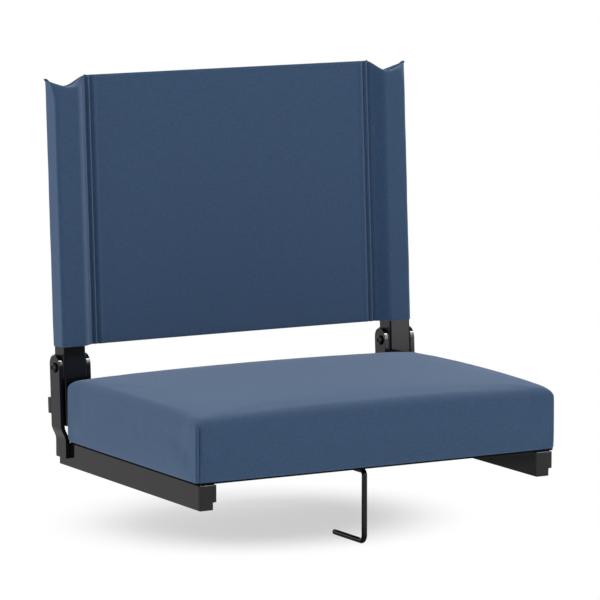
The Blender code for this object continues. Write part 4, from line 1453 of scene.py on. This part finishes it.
        place = x + rolled * (flared - x)
        deep = thick + rolled * (flat - thick)
        lip = self.front_lip * eased(share * self.lip_ramp) * (1 - corner)
        up = height + climb * (top + lip * (1 - rolled) - height)
        loose = held((share - self.wave_from) * self.wave_ramp) * (1 - climb)
        deep = deep + np.sign(thick) * self.folds(x, up, top - up, loose)
        turns, begin = self.slack_wave
        sag = self.bow + self.slack * np.sin(up * turns + begin)
        return np.stack([place, deep + sag * np.clip(1 - (x / self.inner_seam) ** 2, 0, None), up], axis=2)

    def folds(self, x: Array, up: Array, below_top: Array, loose: Array) -> Array:
        """Small folds: slow waves along the sleeves, puckers by the stitches, the hem and the rolled edge.

        The waves are sines of height and place across. The puckers are a sine of the height whose phase
        drifts with a slower sine, under a bell curve across. Hem and edge are bell curves of the height.

        Args:
            x: Place across of the section's points, (n,).
            up: Their heights in each ring, (k, n).
            below_top: How far they lie under the seam along the top, (k, n).
            loose: How loose the sleeve is there, from 0 to 1, (k, n).

        Returns:
            How far the cloth is raised, (k, n).
        """
        waves = sum(
            size * np.sin(up * along + x * across + start) for size, along, across, start in self.waves
        )
        beside = bell(np.abs(x) - self.inner_seam + self.pucker_width, self.pucker_width)
        drift, slow = self.pucker_drift
        puckers = np.sin(up * 2 * math.pi / self.pucker_pitch + drift * np.sin(up * slow))
        hem = bell(below_top - self.hem_below_top, self.hem_half) * (np.abs(x) < self.seam)
        edge = bell(up - self.bottom, self.edge_height)
        raised = self.wave * loose * waves + self.pucker * beside * puckers
        return raised + self.hem_rise * hem - self.edge_roll * edge

    def build(self) -> None:
        """Build and dress the sling and its stitches."""
        rings = self.surface()
        faces = [grid_faces(*rings.shape[:2], wrap=True)]
        sling = new_piece("back_cloth_sling", HINGE.world(rings), faces)
        self.lay_threads(sling.data, rings)
        ply = sling.modifiers.new("ply", "SOLIDIFY")
        ply.thickness = self.cloth
        ply.offset = -1.0
        ply.use_even_offset = False
        seat_piece(sling, Body.BACK, BACK_CLOTH, "back_sling")
        stitches = self.build_stitches()

    @staticmethod
    def lay_threads(mesh: bpy.types.Mesh, rings: Array) -> None:
        """Map of the cloth in metres: length round the section and height.

        Args:
            mesh: The sling's mesh.
            rings: Its points in the backrest's axes.
        """
        first, sides = rings[0], rings.shape[1]
        run = np.concatenate([[0], np.cumsum(np.linalg.norm(np.diff(first, axis=0), axis=1))])
        corner = read(mesh.loops, "vertex_index", kind=np.int32)
        column = corner % sides
        face = np.repeat(np.arange(len(corner) // 4), 4)
        wraps = (np.bincount(face, column == 0) > 0) & (np.bincount(face, column == sides - 1) > 0)
        closing = float(np.linalg.norm(first[-1] - first[0]))
        u = np.where(wraps[face] & (column == 0), run[-1] + closing, run[column])
        write_threads(mesh, u, rings[..., 2].ravel()[corner])

    def build_stitches(self) -> bpy.types.Object:
        """Two rows of stitches down each side, on both faces: short bars of thread with round ends.

        Returns:
            The stitches.
        """
        lines = np.array([self.inner_seam, self.seam])
        deep = np.interp(lines, *self.quarter()) + self.stitch_radius * self.stitch_proud
        up = np.arange(self.bottom + self.stitch_ends, self.top - self.stitch_ends, self.stitch_pitch)
        grid = np.meshgrid([-1.0, 1.0], [0, 1], [-1.0, 1.0], up, indexing="ij")
        side, line, face, height = (values.ravel() for values in grid)
        at_top = np.minimum(deep[line], self.top_half + self.top_proud)
        seated = np.where(height > self.posts.rise, at_top, deep[line])
        middle = np.stack([side * lines[line], face * seated, height], axis=1)
        ring = np.arange(6) * math.pi / 3
        run = np.array([-1.0, -0.82, -0.4, 0.4, 0.82, 1.0]) * self.stitch_length / 2
        thick = np.array([0.35, 0.85, 1.0, 1.0, 0.85, 0.35])[:, None] * self.stitch_radius
        length = np.broadcast_to(run[:, None], (len(run), len(ring)))
        bar = np.stack([thick * np.cos(ring), thick * np.sin(ring), length], axis=2)
        points = middle[:, None, None] + bar
        points[..., 0] += self.stitch_slant * side[:, None, None] * length
        arch = self.stitch_arch * self.stitch_radius * np.cos(run / run[-1] * 1.5)
        points[..., 1] += face[:, None, None] * arch[:, None]
        faces = capped_faces(len(run), len(ring), len(middle))
        return seat_piece(new_piece("sling_stitches", HINGE.world(points), faces), Body.BACK, THREAD)


FILLING: dict[str, object] = {
    "quality": 5,
    "mass": 0.3,
    "tension_stiffness": 25,
    "compression_stiffness": 25,
    "shear_stiffness": 12,
    "bending_stiffness": 4,
    "use_pressure": True,
    "uniform_pressure_force": 4.0,
    "vertex_group_mass": "pins",
}


@dataclass(frozen=True)
class SeatCushion:
    """Foam seat in a cloth cover that is turned in under the board, where a lining closes it.

    The hem's fold is given from its step on, as places past the hem's width and heights over the underside.
    """

    board_inset: float = 0.009
    corner: float = 0.002
    bottom_edge: float = 0.0045
    rear_edge: float = 0.010
    top_edge: float = 0.0095
    top_end: float = 0.985
    top_corner: float = 0.2
    side_height: float = 0.0701
    arch_across: float = 0.0039
    arch_along: float = 0.0036
    crown: float = 0.0018
    front_drop: float = 0.0018
    corner_drop: float = 0.3
    rest_dent: float = 0.0012
    rest_width: float = 0.03
    bulge: float = 0.002
    corner_bulge: float = 0.25
    rear_bulge: float = 0.2
    hem_width: float = 0.040
    hem_bend: float = 0.004
    hem_fold: tuple[Pair, ...] = ((0.0006, 0.0016), (0.0004, 0.0004), (0.0, 0.0001), (-0.0008, 0.0))
    lining_thickness: float = 0.0003
    lining_sag: float = 0.0002
    lining_gap: float = 0.0002
    lining_grid: tuple[int, int] = (90, 60)
    tuck_depth: float = 0.0020
    tuck_place: float = 0.0034
    tuck_width: float = 0.0012
    tuck_ramp: float = 0.010
    tuck_below_top: float = 0.006
    fold_share: float = 0.2
    fold_place: float = 0.0036
    fold_part: float = 0.0038
    fold_width: float = 0.0016
    front_from: float = 0.004
    front_over: float = 0.003
    # Size and place of the dark strip of painted shade under the cover's edge.
    shade_strip_height: float = 0.0024
    shade_strip_depth: float = 0.003
    shade_strip_rim: float = 0.0004
    shade_strip_inset: float = 0.0004
    shade_strip_gap: float = 0.0002
    staple_pitch: float = 0.034
    staple_wire: float = 0.0005
    staple_length: float = 0.010
    staple_in_hem: float = 0.007
    staple_margins: Pair = (0.015, 0.014)
    staple_dip: float = 0.0006
    staple_gap: float = 0.0002
    voxel: float = 0.005
    pinned_height: float = 0.006
    frames: int = 20
    most_swell: float = 0.0016
    shrink: float = 0.0012
    drawn: float = 0.6
    drawn_levels: int = 20
    drawn_from: float = 0.004
    drawn_over: float = 0.012
    corner_hold: float = 0.030
    level_normal: float = 0.72

    def extent(self) -> tuple[Array, Array, float]:
        """Plan of the cushion and its underside's height.

        Returns:
            Middle in plan, half sizes in plan, and the height of the underside.
        """
        low, high = node_box("seat_board")
        half = (high - low)[:2] / 2 + self.board_inset
        return (low + high)[:2] / 2, half, float(node_box("seat_cover")[0][2])

    @staticmethod
    def plan(half_x: Array, half_y: Array, radius: Array) -> tuple[Array, Array]:
        """Rounded rectangles, all with the same count of points, close together near the corners.

        Args:
            half_x: Half width of each, (k,).
            half_y: Half depth of each, (k,).
            radius: Corner radius of each, (k,).

        Returns:
            X and Y of the points, (k, n).
        """
        fine = np.concatenate([np.linspace(0, 0.02, 20), np.linspace(0.02, 0.07, 9)[1:]])
        across = 2 * np.concatenate([fine, np.linspace(0.07, 0.93, 44)[1:-1], 1 - fine[::-1]]) - 1
        turn = np.linspace(0, math.pi / 2, 7)[1:-1]
        half_x, half_y, radius = half_x[:, None], half_y[:, None], radius[:, None]
        flat_x, flat_y = half_x - radius, half_y - radius
        x, y = [], []
        for out_x, out_y in ((1, 0), (0, 1), (-1, 0), (0, -1)):
            side_x, side_y = -out_y, out_x
            arc_x = radius * (out_x * np.cos(turn) + side_x * np.sin(turn))
            arc_y = radius * (out_y * np.cos(turn) + side_y * np.sin(turn))
            x += [out_x * half_x + side_x * flat_x * across, (out_x + side_x) * flat_x + arc_x]
            y += [out_y * half_y + side_y * flat_y * across, (out_y + side_y) * flat_y + arc_y]
        return np.concatenate(x, axis=1), np.concatenate(y, axis=1)

    def rings(self) -> tuple[Array, Array, Array]:
        """Rings of the cover, from the step of the hem underneath, round the sides, to the middle of the top.

        Returns:
            How far each ring lies inside the plan's outline, its height over the underside, and how far the
            rings of the top have gone from its edge to its middle.
        """
        arc = np.linspace(0, math.pi / 2, 8)[1:]
        hem, hem_height = np.array(self.hem_fold).T
        under = np.linspace(self.hem_width - self.hem_bend, self.bottom_edge, 8)
        wall = np.linspace(self.bottom_edge, self.side_height - self.top_edge, 15)[1:]
        over = np.linspace(0, self.top_end, 44)[1:]
        inside = [self.hem_width + hem, under, self.bottom_edge * (1 - np.sin(arc)), 0 * wall]
        inside += [self.top_edge * (1 - np.cos(arc)), np.full(len(over), self.top_edge)]
        height = [hem_height, 0 * under, self.bottom_edge * (1 - np.cos(arc)), wall]
        height += [self.side_height - self.top_edge * (1 - np.sin(arc)), np.full(len(over), self.side_height)]
        inside = np.concatenate(inside)
        inward = np.concatenate([np.zeros(len(inside) - len(over)), over])
        return inside, np.concatenate(height), inward

    def rounded_rear(self, y: Array, height: Array) -> Array:
        """Draw the lower rear edge in by a quarter of a circle, less and less towards the front.

        Args:
            y: Places front to back, from the cushion's middle.
            height: Heights over the underside.

        Returns:
            The new places front to back.
        """
        low = held(1 - height / self.rear_edge)
        back = held(y / self.extent()[1][1])
        return y - self.rear_edge * (1 - np.sqrt(1 - low**2)) * back**8

    def surface(self, shrink: float = 0.0) -> Array:
        """Cover as rings of points: a box with a crowned top, whose sides swell between its corners.

        With x, y and h as shares of the half sizes and of the height, points rise by h times the sum of
        arch_across (1 - x^2), arch_along (1 - y^2) and crown (1 - x^4)(1 - y^4), and towards the front edge
        they drop again by h front_drop y^6 (1 + corner_drop x^4). Under the folded sleeves they drop towards
        the rear by h rest_dent y^3, times a bell curve across. The walls move out by bulge (1 - (2h - 1)^4),
        times 1 - c s^4, with s the share along the wall and c what the corners' bulge falls short by.

        Args:
            shrink: How much flatter the crown and the swell are, for a start before the filling pushes out.

        Returns:
            Rings of points.
        """
        middle, half, floor = self.extent()
        inside, height, inward = self.rings()
        half_x, half_y = ((size - inside) * (1 - inward) for size in half)
        radius = self.corner + np.minimum(inside, self.top_edge) + self.top_corner * inward * min(half)
        x, y = self.plan(half_x, half_y, np.minimum(radius, 0.9 * np.minimum(half_x, half_y)))
        share_x, share_y = np.abs(x) / half[0], np.abs(y) / half[1]
        front, rear = held(-y / half[1]), held(y / half[1])
        rise = self.arch_across * (1 - share_x**2) + self.arch_along * (1 - share_y**2)
        rise += (self.crown - shrink) * (1 - share_x**4) * (1 - share_y**4)
        rise -= self.front_drop * front**6 * (1 + self.corner_drop * share_x**4)
        from_sleeve = np.abs(x) - float(node_middle("right_upright")[0] - middle[0])
        rise -= self.rest_dent * rear**3 * bell(from_sleeve, self.rest_width)
        share = height[:, None] / self.side_height
        swell = (self.bulge - 0.5 * shrink) * (1 - (2 * share - 1) ** 4)
        short = 1 - self.corner_bulge
        facing = np.where(y < 0, 1.0, self.rear_bulge)
        x = x + swell * np.sign(x) * share_x**8 * (1 - short * share_y**4)
        y = y + swell * np.sign(y) * share_y**8 * (1 - short * share_x**4) * facing
        y = self.rounded_rear(y, height[:, None])
        return np.stack([middle[0] + x, middle[1] + y, floor + height[:, None] + share * rise], axis=2)

    def swollen(self) -> bpy.types.Object:
        """The cover after its filling has pushed it out: a cloth simulation on an even mesh, capped.

        Returns:
            A guide object that the finished cover is drawn onto, and which is then removed.
        """
        rings = self.surface(self.shrink)
        rough = new_piece("cushion_start", rings, capped_faces(*rings.shape[:2]))
        even = rough.modifiers.new("even", "REMESH")
        even.mode = "VOXEL"
        even.voxel_size = self.voxel
        mesh = bpy.data.meshes.new_from_object(evaluated(rough))
        bpy.data.objects.remove(rough, do_unlink=True)
        guide = new_object("cushion_guide", mesh)
        start = read(mesh.vertices, "co", 3)
        low = np.flatnonzero(start[:, 2] < self.extent()[2] + self.pinned_height)
        guide.vertex_groups.new(name=FILLING["vertex_group_mass"]).add(low.tolist(), 1.0, "REPLACE")
        cloth = guide.modifiers.new("filling", "CLOTH")
        for name, value in FILLING.items():
            setattr(cloth.settings, name, value)
        cloth.settings.effector_weights.gravity = 0
        cloth.point_cache.frame_start = 1
        cloth.point_cache.frame_end = self.frames
        for number in range(1, self.frames + 1):
            bpy.context.scene.frame_set(number)
        move = read(evaluated(guide).data.vertices, "co", 3) - start
        guide.modifiers.clear()
        bpy.context.scene.frame_set(1)
        far = np.linalg.norm(move, axis=1, keepdims=True)
        move *= np.minimum(1, self.most_swell / np.maximum(far, TINY))
        LOG.info("filling pushed the cover out by %.1f mm at most", 1000 * float(far.max()))
        mesh.vertices.foreach_set("co", (start + move).astype(np.float32).ravel())
        mesh.update()
        return guide

    def drawn_onto(self, rings: Array, guide: bpy.types.Object) -> Array:
        """Draw the cover's fine rings onto the swollen guide, but not at its corners or underneath.

        Args:
            rings: The cover's points.
            guide: The swollen guide.

        Returns:
            The points, moved.
        """
        middle, half, floor = self.extent()
        points = rings.reshape(-1, 3)
        draft = new_piece("cushion_draw", points, [grid_faces(*rings.shape[:2], wrap=True)])
        off_corner = held((half - np.abs(points[:, :2] - middle)) / self.corner_hold).max(axis=1) ** 2
        lifted = held((points[:, 2] - floor - self.drawn_from) / self.drawn_over)
        group = draft.vertex_groups.new(name="drawn")
        levels = np.round(self.drawn * off_corner * lifted * self.drawn_levels).astype(int)
        for level in range(1, self.drawn_levels + 1):
            group.add(np.flatnonzero(levels == level).tolist(), level / self.drawn_levels, "REPLACE")
        wrap = draft.modifiers.new("draw", "SHRINKWRAP")
        wrap.target = guide
        wrap.wrap_method = "NEAREST_SURFACEPOINT"
        wrap.vertex_group = group.name
        moved = read(evaluated(draft).data.vertices, "co", 3)
        bpy.data.objects.remove(draft, do_unlink=True)
        bpy.data.objects.remove(guide, do_unlink=True)
        return moved.reshape(rings.shape).astype(float)

    def tucked(self, rings: Array) -> Array:
        """Seam the cover where the band round its sides closes: a groove down the front by its left corner.

        A fold runs from it. Both are bell curves across. They start together at the top and part downwards.

        Args:
            rings: The cover's points.

        Returns:
            The points with the seam.
        """
        middle, half, floor = self.extent()
        x, y, z = rings[..., 0] - middle[0], rings[..., 1] - middle[1], rings[..., 2] - floor
        from_corner = half[0] + x
        below = 1 - held(z / self.side_height)
        groove = bell(from_corner - self.tuck_place, self.tuck_width)
        from_fold = from_corner - self.fold_place - self.fold_part * below
        groove += self.fold_share * bell(from_fold, self.fold_width)
        facing = held((self.front_from - y - half[1]) / self.front_over)
        tall = held(z / self.tuck_ramp)
        tall = tall * held((self.side_height - self.tuck_below_top - z) / self.tuck_ramp)
        shape = rings.copy()
        shape[..., 1] += self.tuck_depth * groove * facing * tall
        return shape

    def build(self) -> None:
        """Build and dress the cover, the dark strip of painted shade under its edge, the lining and the
        staples.
        """
        rings = self.surface()
        rings = self.drawn_onto(rings, self.swollen())
        rings = self.tucked(rings)
        cushion = new_piece("seat_cushion", rings, capped_faces(*rings.shape[:2]))
        self.lay_threads(cushion.data)
        seat_piece(cushion, Body.SEAT, SEAT_CLOTH, "seat_cover", "seat_foam")
        self.build_painted_shade_strip()
        self.build_lining()
        self.build_staples()

    def lay_threads(self, mesh: bpy.types.Mesh) -> None:
        """Map of the cloth in metres: the top as seen from above, and the walls and hem unfolded from it.

        Args:
            mesh: The cover's mesh.
        """
        _, half, floor = self.extent()
        x, y, z = read(mesh.vertices, "co", 3)[read(mesh.loops, "vertex_index", kind=np.int32)].T
        corners = read(mesh.polygons, "loop_total", kind=np.int32)
        normal = np.repeat(read(mesh.polygons, "normal", 3), corners, axis=0)
        drop = floor + self.side_height - z
        level = np.abs(normal[:, 2]) > self.level_normal
        sideways = (np.abs(normal[:, 0]) > np.abs(normal[:, 1])) & ~level
        endways = ~sideways & ~level
        u = np.where(sideways, np.sign(normal[:, 0]) * (half[0] + drop), x)
        v = np.where(endways, np.sign(normal[:, 1]) * (half[1] + drop), y)
        write_threads(mesh, u, v)

    def build_painted_shade_strip(self) -> None:
        """Dark strip of painted shade round the cover's lower edge: a small rounded box carried round the
        plan.
        """
        middle, half, floor = self.extent()
        centre = (self.shade_strip_inset + self.shade_strip_depth / 2, self.shade_strip_height / 2 + self.shade_strip_gap)
        inward, height = rounded_box(self.shade_strip_depth, self.shade_strip_height, self.shade_strip_rim, 3, centre).T
        x, y = self.plan(half[0] - inward, half[1] - inward, np.full(len(inward), self.corner))
        y = self.rounded_rear(y, height[:, None])
        z = np.broadcast_to(floor + height[:, None], x.shape)
        count, sides = x.shape
        faces = grid_faces(count + 1, sides, wrap=True) % (count * sides)
        shade_strip = new_piece("hem_tape", np.stack([middle[0] + x, middle[1] + y, z], axis=2), [faces])
        seat_piece(shade_strip, Body.SEAT, PAINTED_SHADE_STRIP)

    def build_lining(self) -> None:
        """Spun lining in the hem's mouth: a level sheet with slow waves, held between hem and board."""
        low, high = node_box("dust_cover")
        size = high - low
        columns, rows = self.lining_grid
        x, y = np.meshgrid(np.linspace(low[0], high[0], columns), np.linspace(low[1], high[1], rows))
        inner = (1 - ((2 * x - low[0] - high[0]) / size[0]) ** 8).clip(0)
        inner = inner * (1 - ((2 * y - low[1] - high[1]) / size[1]) ** 8).clip(0)
        sag = self.lining_sag * inner * (np.sin(x * 55 + y * 23) + np.sin(y * 71 - x * 17))
        points = np.stack([x, y, high[2] - self.lining_gap + sag], axis=2)
        lining = new_piece("seat_lining", points, [grid_faces(rows, columns, wrap=False)])
        ply = lining.modifiers.new("ply", "SOLIDIFY")
        ply.thickness = self.lining_thickness
        seat_piece(lining, Body.SEAT, LINING, "dust_cover")

    def staple_rows(self) -> Array:
        """Places of the staples: rows along the four sides of the hem, clear of the straps.

        Returns:
            X and Y of each staple, and the axis that it lies along, (n, 3).
        """
        middle, half, _ = self.extent()
        reach = half - (self.hem_width - self.staple_in_hem)
        first, last = self.staple_margins
        sides = []
        for axis in (0, 1):
            line = np.arange(-reach[axis] + first, reach[axis] - last, self.staple_pitch)
            for sign in (-1, 1):
                side = np.full((len(line), 3), float(axis))
                side[:, axis] = line + middle[axis]
                side[:, 1 - axis] = sign * reach[1 - axis] + middle[1 - axis]
                sides.append(side)
        rows = np.concatenate(sides)
        for end in ENDS:
            low, high = node_box(f"{end}_strap")
            before = rows[:, 1] < low[1] - self.staple_length
            rows = rows[before | (rows[:, 1] > high[1] + self.staple_length)]
        return rows

    def build_staples(self) -> None:
        """Staples that hold the hem to the board: short flat bars of wire round the hem."""
        wire, rows = self.staple_wire, self.staple_rows()
        section = rounded_box(wire * 1.6, wire, wire * 0.3, 1)
        run = np.array([-0.5, -0.46, 0.46, 0.5]) * self.staple_length
        dip = np.array([1.0, 0.0, 0.0, 1.0]) * self.staple_dip
        shape = (len(rows), len(run), len(section))
        along = np.broadcast_to(run[:, None], shape)
        across = np.broadcast_to(section[:, 0], shape)
        height = self.extent()[2] - self.staple_gap + dip[:, None] + section[:, 1]
        endways = rows[:, 2, None, None] > 0
        points = np.stack([
            rows[:, 0, None, None] + np.where(endways, across, along),
            rows[:, 1, None, None] + np.where(endways, along, across),
            np.broadcast_to(height, shape),
        ], axis=3)
        staples = new_piece("hem_staples", points, capped_faces(len(run), len(section), len(rows)))
        seat_piece(staples, Body.SEAT, ZINC_PLATE)


def aim_at(thing: bpy.types.Object, place: Place, aim: Place) -> None:
    """Put a camera or lamp in its place in the scene, and point it at another.

    Args:
        thing: The camera's or lamp's object.
        place: Where it is.
        aim: Where it points.
    """
    thing.location = place
    thing.rotation_euler = (Vector(aim) - Vector(place)).to_track_quat("-Z", "Y").to_euler()
    bpy.context.scene.collection.objects.link(thing)


@dataclass(frozen=True)
class Softbox:
    """An area lamp: its place, aim, width and height, and power. A strip acts on gloss alone."""

    name: str
    place: Place
    aim: Place
    size: Pair
    watts: float
    strip: bool = False

    def build(self) -> None:
        """Add the lamp to the scene."""
        lamp = bpy.data.lights.new(self.name, "AREA")
        lamp.shape = "RECTANGLE"
        lamp.size, lamp.size_y = self.size
        lamp.energy = self.watts
        softbox = bpy.data.objects.new(self.name, lamp)
        softbox.visible_camera = False
        softbox.visible_diffuse = not self.strip
        aim_at(softbox, self.place, self.aim)


SOFTBOXES = (
    Softbox("key_softbox", (1.2, -1.85, 0.95), (0.0, 0.1, 0.18), (0.2, 1.0), 7.6),
    Softbox("overhead_softbox", (0.15, -0.6, 2.2), (0.0, 0.0, 0.15), (1.0, 1.0), 7.4),
    Softbox("left_softbox", (-2.2, -0.6, 0.9), (0.0, 0.0, 0.15), (1.6, 1.4), 14.6),
    Softbox("low_softbox", (1.03, -1.34, 0.30), (0.2, 0.14, 0.18), (0.5, 0.5), 1.35),
    Softbox("upper_strip", (1.03, -0.88, 1.76), (1.03, 0.14, 0.66), (0.8, 0.36), 32.0, strip=True),
    Softbox("lower_strip", (1.03, -1.31, 1.29), (1.03, 0.14, -0.06), (0.8, 0.86), 16.0, strip=True),
)


@dataclass(frozen=True)
class Studio:
    """Camera, lamps, floor and surroundings."""

    camera_place: Place = (-2.4247, -4.32527, 0.9509)
    camera_aim: Place = (-0.0032, -0.00767, 0.2470)
    lens_mm: float = 276.5
    sensor_mm: float = 36.0
    far_clip: float = 200.0
    world_light: float = 0.75
    ceiling: Pair = (0.3, 0.6)
    mirrored_wall: float = 0.9
    floor_colour: float = 0.95
    floor_half: float = 30.0
    floor_gap: float = 0.0002
    shadow_middle: Place = (-0.03, 0.045, 0.0)
    shadow_half: Place = (0.205, 0.18, 1.0)
    shadow_light: float = 0.52
    white_from: float = 0.5
    white_at: float = 1.25
    mirrored_white: float = 0.6
    mirrored_dark: float = 0.12
    mirrored_from: float = 7.0
    mirrored_to: float = 12.0
    # Painted shadow in the floor's glow that reflections see, near the chair.
    mirrored_shade: float = 0.2
    shade_from: float = 1.0
    shade_to: float = 1.7

    def build(self) -> None:
        """Set up the whole studio."""
        self.build_camera()
        self.build_floor()
        self.build_world()
        for softbox in SOFTBOXES:
            softbox.build()
        bpy.context.scene.view_settings.view_transform = "Standard"

    def build_camera(self) -> None:
        """Camera at the photograph's place."""
        lens = bpy.data.cameras.new("photo_camera")
        lens.lens = self.lens_mm
        lens.sensor_width = self.sensor_mm
        lens.clip_end = self.far_clip
        camera = bpy.data.objects.new("photo_camera", lens)
        aim_at(camera, self.camera_place, self.camera_aim)
        bpy.context.scene.camera = camera

    @staticmethod
    def seen_directly(bench: NodeBench) -> bpy.types.NodeSocket:
        """Mask of what a camera sees.

        Args:
            bench: The material's bench.

        Returns:
            1 for what the camera, a reflection or a clear material sees, 0 for light.
        """
        path = bench.add("ShaderNodeLightPath")
        seen = bench.math("MAXIMUM", path["Is Camera Ray"], path["Is Glossy Ray"])
        return bench.math("MAXIMUM", seen, path["Is Transmission Ray"])

    def build_floor(self) -> None:
        """Wide pale floor at the level of the hook's foot.

        Its light shadow fades to white outside an ellipse: by how far a place is from the ellipse's middle,
        in half axes, the floor goes from paper that takes shadows to an even glow.
        """
        corners = np.array([(-1, -1), (1, -1), (1, 1), (-1, 1)]) * self.floor_half
        points = np.column_stack([corners, np.full(4, CAD_BOX[0].z - self.floor_gap)])
        floor = new_piece("studio_floor", points, [np.arange(4)[None]])
        made, bench, shader = start_material("studio_paper")
        paper = (*(self.floor_colour,) * 3, 1.0)
        bench.fill(shader, {"Base Color": paper, "Roughness": 1.0, "Specular IOR Level": 0.0})
        inputs = {0: bench.place(), 1: self.shadow_middle}
        offset = bench.add("ShaderNodeVectorMath", inputs, operation="SUBTRACT")[0]
        ellipse = bench.stretched(offset, tuple(1 / half for half in self.shadow_half))
        away = bench.add("ShaderNodeVectorMath", {0: ellipse}, operation="LENGTH")["Value"]
        far = bench.spread(away, self.white_from, self.white_at, self.shadow_light, 1.0)
        # Glow that reflections see: dimmer than the camera sees it, dark far off, and dimmed near the chair
        # as a painted shadow that only reflections show.
        mirrored = bench.spread(
            away, self.mirrored_from, self.mirrored_to, self.mirrored_white, self.mirrored_dark
        )
        shaded = bench.spread(away, self.shade_from, self.shade_to, self.mirrored_shade, 1.0)
        camera_ray = bench.add("ShaderNodeLightPath")["Is Camera Ray"]
        strength = bench.math("MAXIMUM", camera_ray, bench.math("MULTIPLY", mirrored, shaded))
        glow = bench.add("ShaderNodeEmission", {"Strength": strength})[0]
        seen = bench.math("MULTIPLY", far, self.seen_directly(bench))
        join = bench.add("ShaderNodeMixShader", {0: seen, 1: shader.outputs[0], 2: glow})[0]
        bench.feed(made.node_tree.nodes["Material Output"].inputs["Surface"], join)
        floor.data.materials.append(made)

    def build_world(self) -> None:
        """Even white surroundings, dimmer as light than as seen, with a dark ceiling for reflections."""
        world = bpy.data.worlds.new("studio_world")
        world.use_nodes = True
        bench = NodeBench(world.node_tree)
        heading = bench.add("ShaderNodeTexCoord")["Generated"]
        height = bench.add("ShaderNodeSeparateXYZ", {0: heading})["Z"]
        mirrored = bench.spread(height, *self.ceiling, self.mirrored_wall, self.mirrored_dark)
        path = bench.add("ShaderNodeLightPath")
        lit = bench.math("MAXIMUM", path["Is Camera Ray"], self.world_light)
        glossy = bench.math("SUBTRACT", mirrored, self.world_light)
        strength = bench.math("MULTIPLY_ADD", path["Is Glossy Ray"], glossy, lit)
        sky = world.node_tree.nodes["Background"]
        bench.fill(sky, {"Color": (1.0, 1.0, 1.0, 1.0), "Strength": strength})
        bpy.context.scene.world = world


def dress_kept_solids() -> None:
    """Give the solids that still show their finishes."""
    kept = {"seat_board": BOARD_WOOD, "pivot_bush_left": NYLON, "pivot_bush_right": NYLON}
    for node, finish in kept.items():
        solid = frame["nodes"][node]
        coat(solid, finish)
        LOG.info("%s keeps its solid", node)


def main() -> None:
    """Build the chair's classes in order, then the studio."""
    logging.basicConfig(level=logging.INFO, format="%(name)s: %(message)s")
    for assembly in (SeatFrame(), BackHinge(), BackFrame(), BenchHook(), BackSling(), SeatCushion()):
        assembly.build()
    dress_kept_solids()
    Studio().build()


if __name__ == "__main__":
    main()
